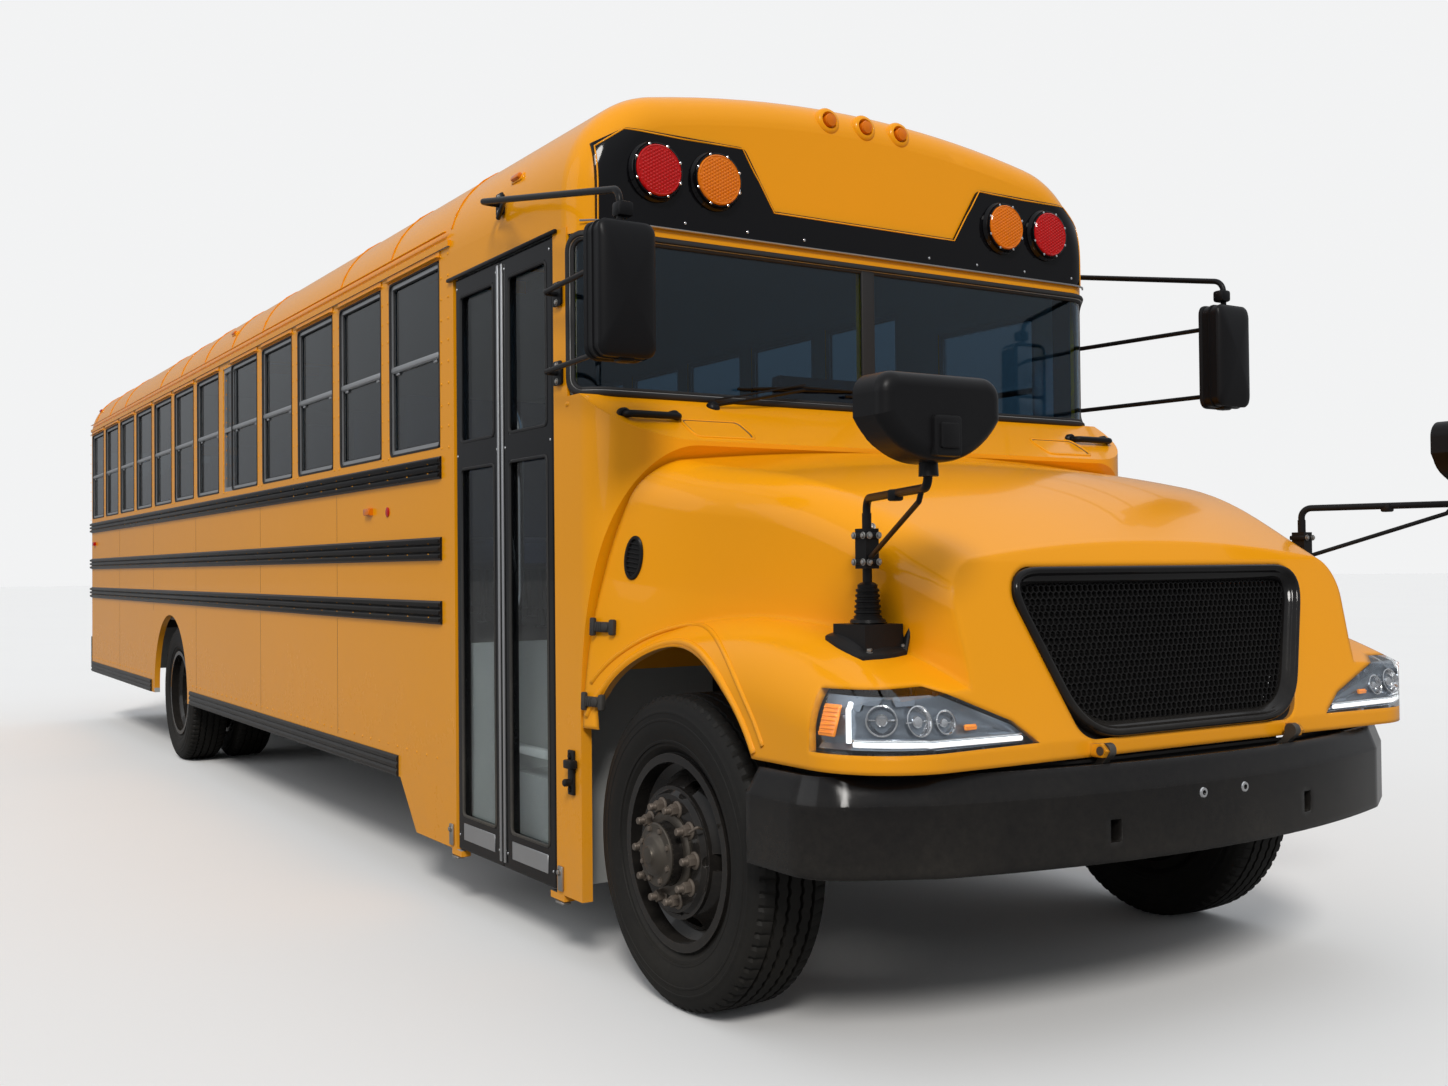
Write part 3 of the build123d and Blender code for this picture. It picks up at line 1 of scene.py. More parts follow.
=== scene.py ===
import math
import bmesh
import bpy
from mathutils import Matrix, Vector
from mathutils.bvhtree import BVHTree


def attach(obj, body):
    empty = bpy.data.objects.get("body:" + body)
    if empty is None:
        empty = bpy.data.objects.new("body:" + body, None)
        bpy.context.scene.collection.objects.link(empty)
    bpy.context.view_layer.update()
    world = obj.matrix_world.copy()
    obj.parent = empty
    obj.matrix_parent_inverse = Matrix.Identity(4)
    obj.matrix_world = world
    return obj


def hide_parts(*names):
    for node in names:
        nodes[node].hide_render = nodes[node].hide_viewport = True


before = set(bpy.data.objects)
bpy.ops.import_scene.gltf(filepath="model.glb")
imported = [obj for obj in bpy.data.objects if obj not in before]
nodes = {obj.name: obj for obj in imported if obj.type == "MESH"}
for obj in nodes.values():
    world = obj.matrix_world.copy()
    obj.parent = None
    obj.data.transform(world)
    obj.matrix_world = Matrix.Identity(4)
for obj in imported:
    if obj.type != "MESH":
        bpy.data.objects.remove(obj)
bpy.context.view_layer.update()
# Main sizes in metres; rearAxle and rearFace are counted from the front axle, as every x given to ax() is
bus = dict(frontAxle=4.6615, rearAxle=-7.010, halfWidth=1.2192, wheelRadius=0.478, rearFace=-10.4552)
frontAxle, rearAxle, halfWidth = bus["frontAxle"], bus["rearAxle"], bus["halfWidth"]
wheelRadius, rearFace = bus["wheelRadius"], bus["rearFace"]
sides = (-1, 1)  # right, left
print("frame loaded:", len(nodes), "nodes")


def ax(distance):  # place along the bus, measured from the front axle
    return frontAxle + distance


# Shared effects as node groups
def setInput(tree, socket, value):
    if isinstance(value, bpy.types.NodeSocket):
        tree.links.new(value, socket)
    else:
        socket.default_value = value


def addNode(tree, kind, inputs=None, **settings):
    node = tree.nodes.new("ShaderNode" + kind)
    for name, value in settings.items():
        setattr(node, name, value)
    for name, value in (inputs or {}).items():
        setInput(tree, node.inputs[name], value)
    return node


def newGroup(name, inputs, outputs):  # an input's value gives its kind, and none stands for a direction
    group = bpy.data.node_groups.new(name, "ShaderNodeTree")
    kinds = {tuple: "NodeSocketColor", float: "NodeSocketFloat", type(None): "NodeSocketVector"}
    for label, value in inputs.items():
        socket = group.interface.new_socket(name=label, in_out="INPUT", socket_type=kinds[type(value)])
        if value is not None:
            socket.default_value = value
    for label, kind in outputs.items():
        group.interface.new_socket(name=label, in_out="OUTPUT", socket_type="NodeSocket" + kind)
    return group, group.nodes.new("NodeGroupInput").outputs, group.nodes.new("NodeGroupOutput").inputs


def mathNode(tree, operation, first, second, clamp=False):
    return addNode(tree, "Math", {0: first, 1: second}, operation=operation, use_clamp=clamp).outputs[0]


def objectPlace(tree):
    return addNode(tree, "TexCoord").outputs["Object"]


def noiseNode(tree, scale, detail=4.0, roughness=0.55):
    values = {"Vector": objectPlace(tree), "Scale": scale, "Detail": detail, "Roughness": roughness}
    return addNode(tree, "TexNoise", values).outputs["Fac"]


def mixColor(tree, factor, first, second):
    node = addNode(tree, "Mix", data_type="RGBA")
    for name, value in (("Factor", factor), ("A", first), ("B", second)):
        setInput(tree, [s for s in node.inputs if s.name == name and s.enabled][0], value)
    return [s for s in node.outputs if s.enabled][0]


def buildDriftGroup():  # slow colour drift over a large surface
    group, start, end = newGroup("colourDrift", {"Color": (0.5, 0.5, 0.5, 1), "Scale": 2.0, "Amount": 0.1},
                                 {"Color": "Color"})
    cloud = noiseNode(group, start["Scale"], 5.0)
    swing = mathNode(group, "MULTIPLY", mathNode(group, "SUBTRACT", cloud, 0.5), start["Amount"])
    value = mathNode(group, "ADD", swing, 1.0)
    hue = addNode(group, "HueSaturation", {"Color": start["Color"], "Value": value})
    setInput(group, end["Color"], hue.outputs["Color"])
    return group


def buildGrimeGroup():  # road dust that thins out with height
    inputs = {"Color": (0.5, 0.5, 0.5, 1), "Dust": (0.32, 0.28, 0.22, 1), "Amount": 0.3, "Full Below": 0.4,
              "None Above": 1.4, "Roughness": 0.3}
    group, start, end = newGroup("roadDust", inputs, {"Color": "Color", "Roughness": "Float",
                                                      "Mask": "Float"})
    height = addNode(group, "SeparateXYZ", {0: objectPlace(group)}).outputs["Z"]
    reach = addNode(group, "MapRange", {"Value": height, "From Min": start["Full Below"],
                                        "From Max": start["None Above"], "To Min": 1.0, "To Max": 0.0},
                    clamp=True)
    blotch = noiseNode(group, 3.1, 8.0, 0.65)
    speck = mathNode(group, "ADD", noiseNode(group, 45.0, 3.0, 0.7), 0.45)
    mask = mathNode(group, "MULTIPLY", reach.outputs[0], mathNode(group, "MULTIPLY", blotch, speck))
    mask = mathNode(group, "MULTIPLY", mask, start["Amount"], True)
    setInput(group, end["Color"], mixColor(group, mask, start["Color"], start["Dust"]))
    rough = mathNode(group, "ADD", start["Roughness"], mathNode(group, "MULTIPLY", mask, 0.5), True)
    wiped = mathNode(group, "SUBTRACT", noiseNode(group, 6.0, 3.0), 0.5)
    rough = mathNode(group, "ADD", rough, mathNode(group, "MULTIPLY", wiped, 0.06), True)
    setInput(group, end["Roughness"], rough)
    setInput(group, end["Mask"], mask)
    return group


def buildSkinGroup():  # fine surface texture: orange peel, moulded grain or leather
    inputs = {"Scale": 300.0, "Strength": 0.1, "Depth": 0.001, "Waves": 0.0, "Normal": None}
    group, start, end = newGroup("fineSkin", inputs, {"Normal": "Vector"})
    grain = noiseNode(group, start["Scale"], 3.0)
    slow = noiseNode(group, 1.7, 2.0)
    height = mathNode(group, "ADD", grain, mathNode(group, "MULTIPLY", slow, start["Waves"]))
    bump = addNode(group, "Bump", {"Strength": start["Strength"], "Distance": start["Depth"],
                                   "Height": height, "Normal": start["Normal"]})
    setInput(group, end["Normal"], bump.outputs["Normal"])
    return group


def buildWearGroup():  # edges worn bare or dulled, found from where a rounded normal leaves the true one
    group, start, end = newGroup("edgeWear", {"Radius": 0.004, "Amount": 0.5},
                                 {"Mask": "Float", "Normal": "Vector"})
    rounded = addNode(group, "Bevel", {"Radius": start["Radius"]}, samples=4).outputs[0]
    flat = addNode(group, "NewGeometry").outputs["Normal"]
    likeness = addNode(group, "VectorMath", {0: rounded, 1: flat}, operation="DOT_PRODUCT").outputs["Value"]
    bend = mathNode(group, "MULTIPLY", mathNode(group, "SUBTRACT", 1.0, likeness), 6.0, True)
    ragged = mathNode(group, "SUBTRACT", noiseNode(group, 38.0, 6.0, 0.7), 0.42)
    ragged = mathNode(group, "MULTIPLY", ragged, 5.0, True)
    mask = mathNode(group, "MULTIPLY", mathNode(group, "MULTIPLY", bend, ragged), start["Amount"], True)
    setInput(group, end["Mask"], mask)
    setInput(group, end["Normal"], rounded)
    return group


def buildSoftGroup():  # creases shaded as if they were rounded
    group, start, end = newGroup("softEdges", {"Radius": 0.004}, {"Normal": "Vector"})
    setInput(group, end["Normal"], addNode(group, "Bevel", {"Radius": start["Radius"]}, samples=6).outputs[0])
    return group


driftGroup, grimeGroup, skinGroup = buildDriftGroup(), buildGrimeGroup(), buildSkinGroup()
wearGroup, softGroup = buildWearGroup(), buildSoftGroup()


def useGroup(tree, group, values):
    return addNode(tree, "Group", values, node_tree=group).outputs


def mixShader(tree, factor, first, second, end):
    either = addNode(tree, "MixShader", {0: factor, 1: first, 2: second})
    setInput(tree, end.inputs["Surface"], either.outputs[0])


# What a look holds where it says nothing else; dustLow and dustHigh are heights in metres
plainLook = dict(drift=0.10, driftScale=1.6, soften=0, wear=0, edge=0.004, bare=(0.25, 0.24, 0.23),
                 dustColor=(0.30, 0.26, 0.20), dust=0.35, dustLow=0.25, dustHigh=1.5, rough=0.3, skin=420.0,
                 skinStrength=0.05, skinDepth=0.0006, waves=0.0, metal=0.0, coat=0.0, coatRough=0.06,
                 specular=0.5, sheen=0, glow=0, clear=0, bending=1.03)


def makeLook(name, values):  # one surface: drift, edge wear, dust and a fine skin over the shader
    look = {**plainLook, **values}
    material = bpy.data.materials.new(name)
    material.use_nodes = True
    tree = material.node_tree
    shader = tree.nodes["Principled BSDF"]
    color = (*look["color"], 1)
    drift = {"Color": color, "Scale": look["driftScale"], "Amount": look["drift"]}
    flow = useGroup(tree, driftGroup, drift)["Color"]
    normal = addNode(tree, "NewGeometry").outputs["Normal"]
    if look["soften"]:  # creases shaded round
        normal = useGroup(tree, softGroup, {"Radius": look["soften"]})["Normal"]
    if look["wear"]:
        worn = useGroup(tree, wearGroup, {"Radius": look["edge"], "Amount": look["wear"]})["Mask"]
        flow = mixColor(tree, worn, flow, (*look["bare"], 1))
    grime = useGroup(tree, grimeGroup, {"Color": flow, "Dust": (*look["dustColor"], 1),
                                        "Amount": look["dust"], "Full Below": look["dustLow"],
                                        "None Above": look["dustHigh"], "Roughness": look["rough"]})
    skin = useGroup(tree, skinGroup, {"Scale": look["skin"], "Strength": look["skinStrength"],
                                      "Depth": look["skinDepth"], "Waves": look["waves"], "Normal": normal})
    values = {"Base Color": grime["Color"], "Roughness": grime["Roughness"], "Normal": skin["Normal"],
              "Metallic": look["metal"], "Coat Weight": look["coat"], "Coat Roughness": look["coatRough"],
              "Specular IOR Level": look["specular"]}
    if look["sheen"]:
        values["Sheen Weight"] = look["sheen"]
    if look["glow"]:
        values.update({"Emission Color": color, "Emission Strength": look["glow"]})
    if look["clear"]:
        values.update({"Transmission Weight": look["clear"], "IOR": look["bending"]})
    for label, value in values.items():
        setInput(tree, shader.inputs[label], value)
    if look["clear"]:
        passing = addNode(tree, "BsdfTransparent", {"Color": (*look["shadow"], 1)})
        shadowRay = addNode(tree, "LightPath").outputs["Is Shadow Ray"]
        mixShader(tree, shadowRay, shader.outputs[0], passing.outputs[0], tree.nodes["Material Output"])
    return material


yellow = dict(color=(0.86, 0.335, 0.003), specular=0.12, coat=0.28, coatRough=0.03, drift=0.06,
              driftScale=0.9, dust=0.25, dustLow=0.2, skin=520.0, skinStrength=0.03, waves=1.5)
gloss = dict(color=(0.004, 0.004, 0.005), rough=0.10, specular=0.12, coat=0.22, drift=0.2, skinStrength=0.02)
lens = dict(coat=0.3, specular=0.15, coatRough=0.02, drift=0.15, driftScale=20.0, dust=0.05, skin=260.0)
pane = dict(rough=0.02, clear=1.0, coat=1.0, coatRough=0.02, drift=0.05, dust=0.05, skin=9.0,
            skinStrength=0.02)
looks = {
    "yellowPaint": dict(yellow, rough=0.24, dustHigh=1.25, wear=0.25, edge=0.005, bare=(0.62, 0.25, 0.02)),
    "hoodPaint": dict(yellow, rough=0.22, dustHigh=1.1, soften=0.022),
    "innerYellow": dict(color=(0.55, 0.22, 0.012), rough=0.6, drift=0.2, dust=0.6, dustHigh=2.2, skin=160.0,
                        skinStrength=0.15),
    "blackPaint": dict(gloss, coatRough=0.02, specular=0.10, dust=0.03, dustHigh=1.4, skin=480.0,
                       soften=0.006),
    "railPaint": dict(color=(0.006, 0.006, 0.007), rough=0.28, specular=0.15, drift=0.25, dust=0.10,
                      dustHigh=1.9, skin=300.0, skinStrength=0.08, wear=0.5, edge=0.003,
                      bare=(0.16, 0.15, 0.14)),
    "chassisPaint": dict(color=(0.012, 0.012, 0.013), rough=0.45, drift=0.3, dust=0.4, dustLow=0.5,
                         dustHigh=1.6, skin=90.0, skinStrength=0.2, wear=0.6, bare=(0.14, 0.09, 0.06)),
    "bumperPaint": dict(gloss, rough=0.14, coat=0.25, drift=0.3, dust=0.14, dustLow=0.4, dustHigh=0.95,
                        skin=260.0, skinStrength=0.04, wear=0.4, bare=(0.16, 0.155, 0.15), soften=0.03),
    "blackPlastic": dict(color=(0.007, 0.007, 0.008), rough=0.36, specular=0.15, drift=0.2, dust=0.06,
                         dustHigh=2.0, skin=700.0, skinStrength=0.16, skinDepth=0.0004),
    "glossPlastic": dict(gloss, dust=0.16, skin=600.0),
    "rubber": dict(color=(0.016, 0.016, 0.017), rough=0.62, drift=0.3, dustHigh=1.6, skin=240.0,
                   skinStrength=0.15, specular=0.35),
    "tyreRubber": dict(color=(0.007, 0.007, 0.007), rough=0.6, specular=0.18, drift=0.35, driftScale=6.0,
                       dust=0.07, dustLow=0.15, dustHigh=1.3, skin=180.0, skinStrength=0.22),
    "wheelPaint": dict(gloss, rough=0.14, specular=0.15, coat=0.25, coatRough=0.05, drift=0.3, dust=0.10,
                       dustLow=0.2, dustHigh=1.3, skin=300.0, skinStrength=0.05, wear=0.5, edge=0.003,
                       bare=(0.13, 0.11, 0.10)),
    "castIron": dict(color=(0.055, 0.052, 0.050), rough=0.68, metal=0.35, drift=0.5, driftScale=5.0, dust=0.8,
                     dustLow=0.7, dustHigh=1.6, skin=75.0, skinStrength=0.4, skinDepth=0.0012),
    "exhaustSteel": dict(color=(0.26, 0.22, 0.19), rough=0.48, metal=0.9, drift=0.6, driftScale=7.0, dust=0.6,
                         dustLow=0.6, dustHigh=1.3, skin=120.0, skinStrength=0.2),
    "aluminium": dict(color=(0.48, 0.49, 0.50), rough=0.36, metal=0.85, drift=0.14, dust=0.1, dustHigh=2.6,
                      skin=650.0, skinStrength=0.06),
    "zincSteel": dict(color=(0.44, 0.43, 0.41), rough=0.34, metal=0.9, drift=0.3, driftScale=12.0, dust=0.25,
                      dustHigh=1.8, skin=240.0, skinStrength=0.1),
    "hubBronze": dict(color=(0.070, 0.060, 0.050), rough=0.36, metal=0.75, drift=0.5, driftScale=14.0,
                      dust=0.25, dustHigh=1.2, skin=220.0, skinStrength=0.2),
    "rustySteel": dict(color=(0.12, 0.095, 0.078), rough=0.5, metal=0.5, drift=0.6, driftScale=25.0,
                       dustHigh=1.2, skin=260.0, skinStrength=0.3),
    "chrome": dict(color=(0.75, 0.75, 0.76), rough=0.08, metal=1.0, drift=0.06, dust=0.08, dustHigh=1.4,
                   skin=300.0, skinStrength=0.02),
    "panelGrey": dict(color=(0.40, 0.41, 0.40), rough=0.5, dust=0.1, dustLow=1.0, dustHigh=2.4, skin=260.0,
                      skinStrength=0.08),
    "darkTrim": dict(color=(0.035, 0.036, 0.040), rough=0.55, drift=0.2, dust=0.15, dustHigh=2.4, skin=520.0,
                     skinStrength=0.2),
    "floorRubber": dict(color=(0.028, 0.028, 0.030), rough=0.55, drift=0.3, dust=0.6, dustLow=1.0, skin=160.0,
                        skinStrength=0.2),
    "seatVinyl": dict(color=(0.012, 0.022, 0.060), rough=0.46, drift=0.2, dust=0.12, dustHigh=2.4, skin=900.0,
                      skinStrength=0.35, skinDepth=0.0005, sheen=0.15),
    "hatchPlastic": dict(color=(0.62, 0.62, 0.58), rough=0.42, drift=0.16, driftScale=4.0, dust=0.45,
                         dustLow=2.8, dustHigh=3.6, skinStrength=0.1),
    "signRed": dict(color=(0.50, 0.012, 0.014), coat=0.4, dust=0.12, dustHigh=2.0, wear=0.3,
                    bare=(0.5, 0.4, 0.4)),
    "signWhite": dict(color=(0.75, 0.75, 0.73), rough=0.35, dust=0.2, dustHigh=2.0),
    "redLens": dict(lens, color=(0.46, 0.004, 0.004), rough=0.10),
    "amberLens": dict(lens, color=(0.70, 0.17, 0.002), rough=0.12),
    "whiteLed": dict(color=(0.85, 0.88, 0.90), rough=0.25, coat=1.0, drift=0.04, dust=0.0, skin=300.0,
                     glow=1.1),
    "lampHousing": dict(color=(0.20, 0.23, 0.27), rough=0.24, metal=0.7, drift=0.3, driftScale=12.0,
                        dust=0.03, skin=120.0, skinStrength=0.1),
    "amberGlow": dict(color=(0.90, 0.26, 0.010), rough=0.25, coat=1.0, driftScale=20.0, dust=0.02, skin=200.0,
                      glow=0.12),
    "mirrorGlass": dict(color=(0.62, 0.65, 0.68), rough=0.03, metal=1.0, drift=0.03, dust=0.06, dustHigh=2.6,
                        skin=40.0, skinStrength=0.01),
    "tintedGlass": dict(pane, color=(0.20, 0.25, 0.28), dust=0.06, dustHigh=2.6, shadow=(0.30, 0.34, 0.36)),
    "doorGlass": dict(pane, color=(0.72, 0.76, 0.77), coat=0.6, dustHigh=2.6, shadow=(0.75, 0.80, 0.82)),
    # The windshield's dark blue tint stands in for the sky reflected in it: partly a real glass tint, partly
    # a painted reflection
    "windshieldGlass": dict(pane, color=(0.16, 0.32, 0.47), dustHigh=2.4, shadow=(0.34, 0.42, 0.50)),
    "lampGlass": dict(pane, color=(0.92, 0.94, 0.95), drift=0.03, dust=0.04, skin=60.0,
                      shadow=(0.9, 0.92, 0.93)), }
surface = {name: makeLook(name, look) for name, look in looks.items()}
print("materials made:", len(surface))


# Which surface each carried-over node takes; the second one goes on faces turned towards a middle point
dressing = {
    "chassisPaint": ("frame_rails", "fuel_tank"),
    "castIron": ("front_axle_beam", "rear_axle", "engine_block", "knuckle_right", "knuckle_left"),
    "exhaustSteel": ("exhaust",),
    "floorRubber": ("floor",),
    # The entrance steps take the lighter panel grey to lift the shaded step well: partly their own grey,
    # partly painted light
    "panelGrey": ("entrance_steps",),
    "windshieldGlass": ("windshield_glass",),
    "aluminium": ("window_frames",),
    "tintedGlass": ("window_glass", "emergency_glass"),
    "railPaint": ("rub_rails",),
    "bumperPaint": ("front_bumper", "rear_bumper"),
    "blackPlastic": ("grille", "crossover_mirrors", "rear_view_mirrors"),
    "lampGlass": ("headlamps",),
    "blackPaint": ("lamp_panels", "door_leaf_front", "door_leaf_rear"),
    "redLens": ("red_lamps",),
    "amberLens": ("amber_lamps",),
    "darkTrim": ("dashboard",),
    "seatVinyl": ("seats",),
    "doorGlass": ("door_glass_front", "door_glass_rear"),
    "yellowPaint": ("emergency_door",),
    "signRed": ("stop_arm",),
    "hatchPlastic": ("roof_hatch_front", "roof_hatch_rear"),
    "tyreRubber": ("tyre_front_right", "tyre_front_left", "tyres_rear_right", "tyres_rear_left"),
    "wheelPaint": ("rim_front_right", "rim_front_left", "rim_rear_right", "rim_rear_left"),
}
twoSided = {
    "side_wall_right": ("yellowPaint", "panelGrey", (-5.5, 0, 2.0)),
    "side_wall_left": ("yellowPaint", "panelGrey", (-5.5, 0, 2.0)),
    "rear_wall": ("yellowPaint", "panelGrey", (-6.0, 0, 1.8)),
    "roof": ("yellowPaint", "panelGrey", (-6.0, 0, 2.0)),
    "front_cap": ("yellowPaint", "panelGrey", (-1.3, 0, 2.3)),
    "cowl": ("yellowPaint", "darkTrim", (-1.2, 0, 1.7)),
    "hood": ("hoodPaint", "innerYellow", (0.3, 0, 0.9)),
}
longNodes = ("side_wall_right", "side_wall_left", "roof")  # judged across the bus only


def dressNode(name, *dresses):
    mesh = nodes[name].data
    mesh.materials.clear()
    for dress in dresses:
        mesh.materials.append(surface[dress])
    return mesh


for look, names in dressing.items():
    for name in names:
        dressNode(name, look)
for name, (outer, inner, middle) in twoSided.items():
    mesh = dressNode(name, outer, inner)
    centre = Vector((ax(middle[0]), middle[1], middle[2]))
    for face in mesh.polygons:
        across = face.center - centre
        if name in longNodes:
            across.x = 0
        if name == "rear_wall":
            across.yz = 0, 0
        face.material_index = 1 if face.normal.dot(across) < -0.02 else 0
print("nodes dressed:", len(dressing) + len(twoSided))


# Mesh shapes: each is a list of corners and a list of faces
class Piece:
    def __init__(self):
        self.corners = []
        self.faces = []

    def put(self, shape, matrix=None):
        start = len(self.corners)
        corners, faces = shape
        self.corners.extend([matrix @ c for c in corners] if matrix is not None else corners)
        self.faces.extend([tuple(start + i for i in face) for face in faces])

    def make(self, name, look, body, slotName, angle=38.0):
        mesh = bpy.data.meshes.new(name)
        mesh.from_pydata([tuple(c) for c in self.corners], [], self.faces)
        bm = bmesh.new()
        bm.from_mesh(mesh)
        bmesh.ops.recalc_face_normals(bm, faces=bm.faces)
        bm.to_mesh(mesh)
        bm.free()
        mesh.shade_smooth()
        mesh.set_sharp_from_angle(angle=math.radians(angle))
        obj = bpy.data.objects.new(name, mesh)
        bpy.context.scene.collection.objects.link(obj)
        mesh.materials.append(surface[look])
        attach(obj, body)
        return obj


def shift(x, y, z):
    return Matrix.Translation((x, y, z))


def at(x, y, z):
    return shift(ax(x), y, z)


def facing(origin, zWay, xWay=(0, 0, 1)):  # frame at a point with its z axis along zWay
    z = Vector(zWay).normalized()
    x = Vector(xWay) - z * Vector(xWay).dot(z)
    x.normalize()
    turn = Matrix((x, z.cross(x), z)).transposed().to_4x4()
    return at(*origin) @ turn


def spin(degrees, axis):
    return Matrix.Rotation(math.radians(degrees), 4, axis)


def onBus(points):  # points counted from the front axle, put along the bus
    return [(ax(x), y, z) for x, y, z in points]


def gridFaces(rings, count, closed=True, wrap=False):  # faces between rings of points that follow each other
    faces = []
    for r in range(rings if wrap else rings - 1):
        start, after = r * count, (r + 1) % rings * count
        for i in range(count if closed else count - 1):
            j = (i + 1) % count
            faces.append((start + i, start + j, after + j, after + i))
    return faces


def boxShape(size, rounding=0.0, steps=2):
    bm = bmesh.new()
    bmesh.ops.create_cube(bm, size=1.0)
    for v in bm.verts:
        v.co = Vector(tuple(c * s for c, s in zip(v.co, size)))
    if rounding:
        bmesh.ops.bevel(bm, geom=list(bm.edges), offset=rounding, segments=steps, affect="EDGES", profile=0.5)
    bm.verts.index_update()
    corners = [v.co.copy() for v in bm.verts]
    faces = [tuple(v.index for v in f.verts) for f in bm.faces]
    bm.free()
    return corners, faces


def spanShape(low, high, rounding=0.003, steps=2):  # box between two corners, x from the front axle
    size = [abs(b - a) for a, b in zip(low, high)]
    middle = [(a + b) / 2 for a, b in zip(low, high)]
    corners, faces = boxShape(size, min(rounding, min(size) * 0.45), steps)
    matrix = at(*middle)
    return [matrix @ c for c in corners], faces


def circle(radius, sides=24, start=0.0):
    angles = [start + 2 * math.pi * k / sides for k in range(sides)]
    return [(radius * math.cos(angle), radius * math.sin(angle)) for angle in angles]


def latheShape(profile, sides=32):  # profile of (radius, height) pairs turned about z
    corners, faces, rings = [], [], []
    for radius, height in profile:
        row = circle(radius, sides) if radius > 1e-6 else [(0, 0)]
        rings.append(range(len(corners), len(corners) + len(row)))
        corners.extend(Vector((x, y, height)) for x, y in row)
    for first, second in zip(rings, rings[1:]):
        for k in range(sides):
            after = (k + 1) % sides
            if len(first) > 1 and len(second) > 1:
                faces.append((first[k], first[after], second[after], second[k]))
            elif len(second) > 1:
                faces.append((first[0], second[after], second[k]))
            elif len(first) > 1:
                faces.append((first[k], first[after], second[0]))
    return corners, faces


def tubeShape(points, radius, sides=12, closed=False, flat=1.0):  # round bar through points
    points = [Vector(p) for p in points]
    corners = []
    count = len(points)
    normal = None
    for i, point in enumerate(points):
        before = points[i - 1] if i or closed else point
        after = points[(i + 1) % count] if i < count - 1 or closed else point
        along = (after - before).normalized()
        if normal is None:
            normal = along.orthogonal().normalized()
        normal = (normal - along * normal.dot(along)).normalized()
        side = along.cross(normal)
        for k in range(sides):
            angle = 2 * math.pi * k / sides
            corners.append(point + normal * radius * math.cos(angle) + side * radius * flat * math.sin(angle))
    faces = gridFaces(count, sides, wrap=closed)
    if not closed:
        faces.append(tuple(range(sides))[::-1])
        faces.append(tuple(range((count - 1) * sides, count * sides)))
    return corners, faces


def bendPath(points, radius, steps=6):  # straight runs with arcs at the corners
    points = [Vector(p) for p in points]
    path = [points[0]]
    for before, corner, after in zip(points, points[1:], points[2:]):
        reach = min(radius, (before - corner).length * 0.48, (after - corner).length * 0.48)
        start = corner + (before - corner).normalized() * reach
        stop = corner + (after - corner).normalized() * reach
        for k in range(steps + 1):
            t = k / steps
            path.append(start * (1 - t) ** 2 + corner * 2 * t * (1 - t) + stop * t ** 2)
    path.append(points[-1])
    return path


def finerLine(line, step, closed=True):  # more points on each run, none further apart than the step
    fine = []
    for (u, z), (u2, z2) in zip(line, line[1:] + line[:1] if closed else line[1:]):
        cuts = max(1, int(math.hypot(u2 - u, z2 - z) / step))
        fine.extend((u + (u2 - u) * t / cuts, z + (z2 - z) * t / cuts) for t in range(cuts))
    return fine


def insetOutline(outline, amount):  # 2-D outline moved inwards, corners kept
    after = outline[1:] + outline[:1]
    turn = 1 if sum(a[0] * b[1] - b[0] * a[1] for a, b in zip(outline, after)) > 0 else -1
    moved = []
    for i, here in enumerate(outline):
        one = (Vector(here) - Vector(outline[i - 1])).normalized()
        two = (Vector(after[i]) - Vector(here)).normalized()
        normals = [Vector((-w.y, w.x)) * turn for w in (one, two)]
        middle = normals[0] + normals[1]
        if middle.length < 1e-6:
            middle = normals[0]
        middle.normalize()
        moved.append(tuple(Vector(here) + middle * amount * (1 / max(0.4, middle.dot(normals[0])))))
    return moved


def roundOutline(outline, radius, steps=5):
    flat = [(x, y, 0.0) for x, y in outline]
    path = bendPath(flat[-1:] + flat + flat[:1], radius, steps)[1:-1]
    return [(p.x, p.y) for p in path]


def roundFrame(x0, x1, y0, y1, radius, steps):  # rectangle between limits, with round corners
    return roundOutline([(x0, y0), (x1, y0), (x1, y1), (x0, y1)], radius, steps)


def roundPad(width, height, radius, steps):
    return roundFrame(-width / 2, width / 2, -height / 2, height / 2, radius, steps)


def ringShape(outline, steps):  # nested outlines: (inset, height) rows joined into a moulded ring
    corners = [Vector((x, y, height)) for inset, height in steps for x, y in insetOutline(outline, inset)]
    return corners, gridFaces(len(steps), len(outline))


def plateShape(outline, depth, rounding=0.0):  # prism on z = 0 with an eased top edge
    rings = [(outline, 0.0), (outline, depth - rounding)]
    if rounding:
        rings.append((insetOutline(outline, rounding * 0.3), depth - rounding * 0.3))
        rings.append((insetOutline(outline, rounding), depth))
    count = len(outline)
    faces = gridFaces(len(rings), count)
    faces.append(tuple(range(count))[::-1])
    faces.append(tuple(range((len(rings) - 1) * count, len(rings) * count)))
    return [Vector((x, y, height)) for ring, height in rings for x, y in ring], faces


def domeShape(outline, rise, steps=6):  # outline drawn together to a crown
    middle = Vector((sum(x for x, y in outline), sum(y for x, y in outline))) / len(outline)
    corners = []
    for k in range(steps):
        angle = math.pi / 2 * k / steps
        near, height = math.cos(angle), rise * math.sin(angle)
        corners.extend(Vector((middle.x + (x - middle.x) * near, middle.y + (y - middle.y) * near, height))
                       for x, y in outline)
    count = len(outline)
    faces = gridFaces(steps, count)
    corners.append(Vector((middle.x, middle.y, rise)))
    last = (steps - 1) * count
    faces.extend((last + i, last + (i + 1) % count, len(corners) - 1) for i in range(count))
    return corners, faces


def boltShape(radius, height):  # hexagon head on a washer
    piece = Piece()
    washer = [(0, 0), (radius * 1.5, 0), (radius * 1.5, height * 0.25), (radius * 1.35, height * 0.3)]
    piece.put(latheShape(washer, 16))
    piece.put(plateShape(circle(radius, 6), height, height * 0.2))
    return piece.corners, piece.faces


